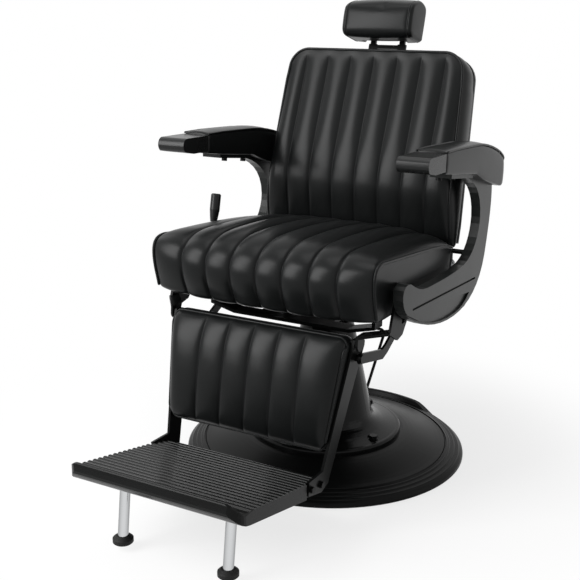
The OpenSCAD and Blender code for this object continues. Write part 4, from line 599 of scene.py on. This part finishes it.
rounded_off(leg_pad)
in_leather(leg_pad, "leg_rest", "leg_pad")
leg_normal = leaned([(0, 1, 0)], (0, 0), LEG_LEAN)[0]
cord = piping("leg_pad_piping", rim, LEG_PIPING, leg_normal, closed=True)
in_leather(cord, "leg_rest")

# ---------------------------------------------------------------- back cushion
# Foam on the back board under leather sewn in eight upright channels. A piped seam runs up both
# sides and round the rounded top corners, and the boxing behind it swells out towards the rear.
BACK_PIVOT = (160.0, 470.0)  # the shaft that the back turns on, as y and z in the chair
BACK_LEAN = 16.0  # degrees
BACK_LOW = 50.0  # lower edge, up from the shaft
BACK_TOP = 509.0
BACK_CORNER = 50.0  # radius of the two top corners
BACK_SEAM = 235.0  # the outer seams, from the middle
BACK_CHANNEL = 63.3  # from one seam to the next
BACK_RIDGE = 6.0  # how far the ridges rise over the seams
BACK_SPREAD = 9.0  # how much the boxing spreads towards the rear, a side
BACK_PUFF = 5.5  # swell of the boxing
BACK_GIVE = 5.0  # how far the cloth may move
BACK_PIPING = 3.3  # radius of the cord
NO_CORNER = -1000.0  # a lower end so far down that only the top corners are rounded
back_seams = np.array([-BACK_SEAM, *(BACK_CHANNEL * np.arange(-3, 4)), BACK_SEAM])
heights = levels(BACK_LOW, BACK_TOP, 24.0, 30)
half = np.interp(heights, (58, 100, 476, 510), (252, 252, 236, 235))
level = np.interp(heights, (50, 68, 88, 112, 142, 170, 205, 240, 290, 355, 422, 480, 509),
                  (33, 40, 49, 59, 72, 82, 87, 86, 81, 75, 69, 65, 63))
edge = np.interp(heights, (50, 68, 88, 112, 142, 175, 509), (20, 33, 45, 55, 64, 69, 69))
sewn = np.interp(heights, (481, 497), (1, 0))
places = stations(back_seams, BACK_CORNER)
front = padded_face(places, back_seams, heights, half, level, edge, BACK_RIDGE, sewn)
rear = front.copy()
rear[..., 0] *= (half + BACK_SPREAD) / half
rear[..., 1] = np.interp(heights, (50, 60, 110), (-6, 2, 3))
front = round_corners(front, half, NO_CORNER, BACK_TOP, BACK_CORNER)
rear = round_corners(rear, half + BACK_SPREAD, NO_CORNER, BACK_TOP, BACK_CORNER + 8)
front, rear = (leaned(grid, BACK_PIVOT, BACK_LEAN) for grid in (front, rear))
back, rim = boxed_pad("back_cushion_leather", front, rear, BACK_PUFF)
plump(back, off_the_seams(places, back_seams, sewn), BACK_GIVE)
rounded_off(back)
in_leather(back, "back", "back_cushion")
# The outline without its lower edge: up one side, over the top and down the other.
rim = np.roll(rim, -len(places) + 1, axis=0)[:2 * len(heights) + len(places) - 2]
cord = piping("back_piping", rim, BACK_PIPING, leaned([(0, 1, 0)], (0, 0), BACK_LEAN)[0])
in_leather(cord, "back")

# ---------------------------------------------------------------- headrest
# Short foam block in leather, longer at the top than below, with rounded end panels joined on by
# a piped seam. A pocket behind takes the carrier that it tilts on.
HEAD_HALF = 94.0  # half of the width over the end panels
HEAD_SEAM = 83.5  # the seams of the end panels, from the middle
HEAD_SET_IN = 2.5  # how much smaller the block is at the seams than in the middle
HEAD_END_ROUND = 8.0  # how much smaller again the end panels are at their flat
HEAD_GROOVE = 2.0  # depth of the groove that a seam sinks in
HEAD_GIVE = 2.5  # how far the cloth may move
HEAD_PIPING = 2.4  # radius of the cords
HEAD_POCKET = ((-60, -31, 500), (60, 60, 604))  # room for the carrier
# Outline of the block in the back's frame, from its lower front edge up and over to the rear.
head_loop = bezier(
    [(-64, 542), (-82, 542), (-90, 550), (-92, 564), (-94, 584), (-95, 600), (-92, 614), (-88, 625),
     (-74, 636), (-38, 648), (-2, 649), (7, 640), (7, 620)], (8, 10, 12, 8))
count = len(head_loop)
head_side = closed_loop(head_loop, evenly([(-64, 542), (-6, 545), (5, 552), (7, 596), (7, 620)], count))
places = np.r_[np.linspace(0, 80, 15), 82.6, HEAD_SEAM, 84.4,
               HEAD_SEAM + (HEAD_HALF - HEAD_SEAM) * np.sin(np.linspace(0.25, math.pi / 2, 7))]
places = np.r_[-places[:0:-1], places]
past = np.clip((np.abs(places) - HEAD_SEAM) / (HEAD_HALF - HEAD_SEAM), 0, 1)
# The loops are set in by s (x / seam)^2 up to the seam, by s + e (1 - sqrt(1 - p^2)) past it, p
# going from 0 to 1 there, and by g exp(-(d / 1.2)^2) more at a distance d from the seam.
inset = np.where(past > 0, HEAD_SET_IN, HEAD_SET_IN * (places / HEAD_SEAM)**2)
inset += HEAD_END_ROUND * (1 - np.sqrt(1 - past**2))
inset += HEAD_GROOVE * np.exp(-((np.abs(places) - HEAD_SEAM) / 1.2)**2)
ahead = np.roll(head_side, -1, axis=0) - np.roll(head_side, 1, axis=0)
ahead /= np.linalg.norm(ahead, axis=1, keepdims=True)
inward = np.stack([ahead[:, 1], -ahead[:, 0]], axis=1)
loops = head_side[None] + inset[:, None, None] * inward[None]
rows = np.dstack([np.repeat(places[:, None], len(head_side), axis=1), loops])
head = boxed_block("headrest_leather", rows, 0.0, 1.0)
# The cloth moves the face between the two seams.
free = np.zeros(rows.shape[:2], bool)
free[np.ix_(np.abs(places) < HEAD_SEAM - 0.5, np.arange(len(head_side)) < count - 2)] = True
plump(head, free, HEAD_GIVE)
rounded_off(head)
carved(head, *HEAD_POCKET)
# The block was made and cut upright, and now leans back with the back.
points = np.empty(len(head.data.vertices) * 3, np.float32)
head.data.vertices.foreach_get("co", points)
turned = leaned(points.reshape(-1, 3), np.array(BACK_PIVOT) * 0.001, BACK_LEAN)
head.data.vertices.foreach_set("co", turned.astype(np.float32).ravel())
head.data.update()
in_leather(head, "headrest", "headrest_pad")
seam = np.searchsorted(places, HEAD_SEAM)
for side, row in (("right", rows[-1 - seam]), ("left", rows[seam])):
    path = leaned(row, BACK_PIVOT, BACK_LEAN)
    cord = piping(f"headrest_piping_{side}", path, HEAD_PIPING, (1, 0, 0), closed=True)
    in_leather(cord, "headrest")

# ---------------------------------------------------------------- arm pads
# Foam on a shaped base under leather, flat topped with a little crown, screwed down on the
# casting's saddle. Piping runs along the upper edges, and the pad slopes away at its rear.
ARM_MIDDLE = 297.5  # from the chair's middle to a pad's
PAD_HALF = 36.5  # half of a pad's width
PAD_CROWN = 5.8  # rise of the top over its edges
PAD_BULGE = 1.2  # swell of the sides
PAD_GIVE = 2.0  # how far the cloth may move
PAD_PRESSURE = 2.5  # behind the cloth
PAD_PIPING = 2.4  # radius of the cords
CORD_OUT = 2.9  # from the step in the section out to a cord's middle
CORD_UP = 1.6
# Places along a pad from the front: y, then the heights of its underside and its upper edges.
pad_path = np.array([
    (-133, 741, 783), (-127, 740, 787), (-64, 731.2, 787), (0, 723.8, 785), (82, 714.3, 782),
    (118, 701, 779), (150, 690, 774), (185, 681, 767), (220, 673, 758), (252, 666, 748),
    (278, 660, 736), (292, 662, 728), (298, 668, 717)], float)
at = np.unique(np.r_[np.linspace(-133, 298, 62), -130, 292, 295, 297])
low = np.interp(at, pad_path[:, 0], pad_path[:, 1])
top = np.interp(at, pad_path[:, 0], pad_path[:, 2])
tight = np.interp(at, (-133, -127, 280, 292, 298), (2, 0, 0, 2, 6))
half = PAD_HALF - tight
across = np.linspace(1, -1, 17)[1:-1]
# The cross section at each place: a side swells by 4 b t (1 - t) between its lower and upper
# corner, then steps in for the piping, and the top rises by c (1 - |u|^2.6), u going from -1 to
# 1 across it.
right_side = [(half - 4, low), (half - 1, low + 1), (half, low + 5)]
right_side += [(half + PAD_BULGE * 4 * t * (1 - t) - 0.5 * t, low + 5 + (top - low - 8) * t)
               for t in (0.25, 0.5, 0.75, 1.0)]
right_side += [(half - 4.5, top - 1.8)]
crown = [(half * u - 1.4 * u, top - 0.8 + PAD_CROWN * (1 - abs(u)**2.6)) for u in across]
outline = right_side + crown + [(-x, z) for x, z in right_side[::-1]]
outline += [(-(half - 4) + (2 * half - 8) * t, low) for t in (0.1, 0.3, 0.5, 0.7, 0.9)]
section = np.array(outline)
along = np.repeat(at[:, None], len(outline), axis=1)
for side, sign in (("left", 1), ("right", -1)):
    rows = np.stack([sign * (ARM_MIDDLE + section[:, 0].T), along, section[:, 1].T], axis=-1)
    ids = np.arange(rows[..., 0].size).reshape(rows.shape[:2])
    faces = quads(np.column_stack([ids, ids[:, 0]])).tolist() + [ids[0].tolist(), ids[-1].tolist()]
    pad = piece_of(f"arm_pad_leather_{side}", rows.reshape(-1, 3), faces)
    # The cloth moves the top inside its edges, and the middle of the outer side.
    free = np.zeros(ids.shape, bool)
    free[2:-2, len(right_side) + 1:len(right_side) + len(crown) - 1] = True
    free[2:-2, 3:6] = True
    plump(pad, free, PAD_GIVE, PAD_PRESSURE)
    rounded_off(pad)
    in_leather(pad, "seat", f"arm_pad_{side}")
    for edge_name, column in (("outer", len(right_side) - 1), ("inner", len(right_side) + len(crown))):
        away = np.sign(rows[1, column, 0] - sign * ARM_MIDDLE)
        path = rows[1:-1, column] + (CORD_OUT * away, 0, CORD_UP)
        cord = piping(f"arm_piping_{edge_name}_{side}", path, PAD_PIPING, (1, 0, 0))
        in_leather(cord, "seat")

# ---------------------------------------------------------------- studio
# A pale floor that fades to plain white away from the chair, a large soft lamp on the left, a
# weaker one on the right, one above and one behind, and an even white surround.


def white_in_view(tree):
    """1 for rays that the camera, a gloss or a clear surface sends out to the surround, else 0."""
    rays = place(tree, "LightPath")
    seen = place(tree, "Math", {0: rays.outputs["Is Camera Ray"], 1: rays.outputs["Is Glossy Ray"]},
                 operation="MAXIMUM")
    return place(tree, "Math", {0: seen.outputs[0], 1: rays.outputs["Is Transmission Ray"]},
                 operation="MAXIMUM").outputs[0]


FLOOR_RADIUS = 6000.0
FLOOR_SIDES = 96
FLOOR_TOP = -0.3  # a hair under the base, so that the two faces don't lie in one plane
turn = np.linspace(0, 2 * math.pi, FLOOR_SIDES, endpoint=False)
rim = np.stack([np.cos(turn) * FLOOR_RADIUS, np.sin(turn) * FLOOR_RADIUS,
                np.full(FLOOR_SIDES, FLOOR_TOP)], axis=1)
floor = piece_of("studio_floor", rim, [list(range(FLOOR_SIDES))])
floor_paint = bpy.data.materials.new("floor_paint")
floor_paint.use_nodes = True
tree = floor_paint.node_tree
tree.nodes.clear()
spot = place(tree, "TexCoord").outputs["Object"]
# The paint takes the shadows close to the base, and plain white takes over by a metre out.
reach = place(tree, "VectorMath", {0: spot}, operation="LENGTH").outputs["Value"]
fade = place(tree, "MapRange", {
    "Value": reach, "From Min": 0.37, "From Max": 1.0, "To Min": 0.74, "To Max": 1.0},
    interpolation_type="SMOOTHERSTEP").outputs["Result"]
fade = place(tree, "Math", {0: fade, 1: white_in_view(tree)}, operation="MULTIPLY").outputs[0]
painted = place(tree, "BsdfDiffuse", {"Color": (0.93, 0.93, 0.93, 1.0)})
plain_white = place(tree, "Emission", {"Color": (1.0, 1.0, 1.0, 1.0), "Strength": 1.0})
mixed = place(tree, "MixShader", {0: fade, 1: painted.outputs[0], 2: plain_white.outputs[0]})
place(tree, "OutputMaterial", {"Surface": mixed.outputs[0]})
floor.data.materials.append(floor_paint)

world = bpy.data.worlds.new("white_surround")
bpy.context.scene.world = world
world.use_nodes = True
tree = world.node_tree
tree.nodes.clear()
strength = place(tree, "MapRange", {"Value": white_in_view(tree), "To Min": 0.28, "To Max": 1.0})
surround = place(tree, "Background", {
    "Color": (1.0, 1.0, 1.0, 1.0), "Strength": strength.outputs["Result"]})
place(tree, "OutputWorld", {"Surface": surround.outputs[0]})

AZIMUTH, ELEVATION, ROLL = (math.radians(angle) for angle in (28.5, 15.46, 0.73))
CAMERA_AT = (1.0214, -2.0795, 1.0493)  # metres
PICTURE = 580.0  # width of the picture in pixels
FOCAL = 975.0  # focal length in the same pixels
SENSOR = 36.0  # width of the film in millimetres
to_camera = np.array([math.sin(AZIMUTH) * math.cos(ELEVATION), -math.cos(AZIMUTH) * math.cos(ELEVATION),
                      math.sin(ELEVATION)])
right = np.cross(-to_camera, (0, 0, 1))
right /= np.linalg.norm(right)
up = np.cross(right, -to_camera)


def facing(position, target):
    """A turn that points an object's -Z from one place at another, as a 3 by 3 array of columns."""
    away = np.asarray(position, float) - np.asarray(target, float)
    away /= np.linalg.norm(away)
    side = np.cross((0, 0, 1), away)
    side /= np.linalg.norm(side)
    return np.column_stack([side, np.cross(away, side), away])


def stand(thing, position, columns):
    """Puts a lamp or camera object in its place."""
    bpy.context.scene.collection.objects.link(thing)
    matrix = np.eye(4)
    matrix[:3, :3], matrix[:3, 3] = columns, position
    thing.matrix_world = Matrix(matrix.tolist())


ahead = np.array([math.sin(AZIMUTH), -math.cos(AZIMUTH), 0.0])
aim = np.array([0.0, -0.1, 0.55])
# Metres to the right of the aim, towards the camera and up, then width, height and watts.
for name, aside, towards, above, width, height, watts in (
        ("lamp_left", -2.1, 1.1, 1.15, 1.3, 2.2, 88.0),
        ("lamp_right", 2.3, 0.6, 0.6, 1.6, 1.6, 6.0),
        ("lamp_above", 0.0, 0.1, 2.4, 1.6, 1.6, 18.0),
        ("lamp_behind", -1.9, -1.5, 1.7, 1.4, 1.4, 12.0)):
    lamp = bpy.data.lights.new(name, "AREA")
    lamp.shape, lamp.size, lamp.size_y, lamp.energy = "RECTANGLE", width, height, watts
    position = aim + aside * right + towards * ahead + np.array([0, 0, above])
    stand(bpy.data.objects.new(name, lamp), position, facing(position, aim))

camera = bpy.data.cameras.new("camera")
camera.lens, camera.sensor_width = FOCAL / PICTURE * SENSOR, SENSOR
camera.clip_start, camera.clip_end = 0.05, 60.0
view = bpy.data.objects.new("camera", camera)
tilted_right = math.cos(ROLL) * right + math.sin(ROLL) * up
tilted_up = math.cos(ROLL) * up - math.sin(ROLL) * right
stand(view, CAMERA_AT, np.column_stack([tilted_right, tilted_up, to_camera]))
bpy.context.scene.camera = view
bpy.context.scene.view_settings.view_transform = "Standard"
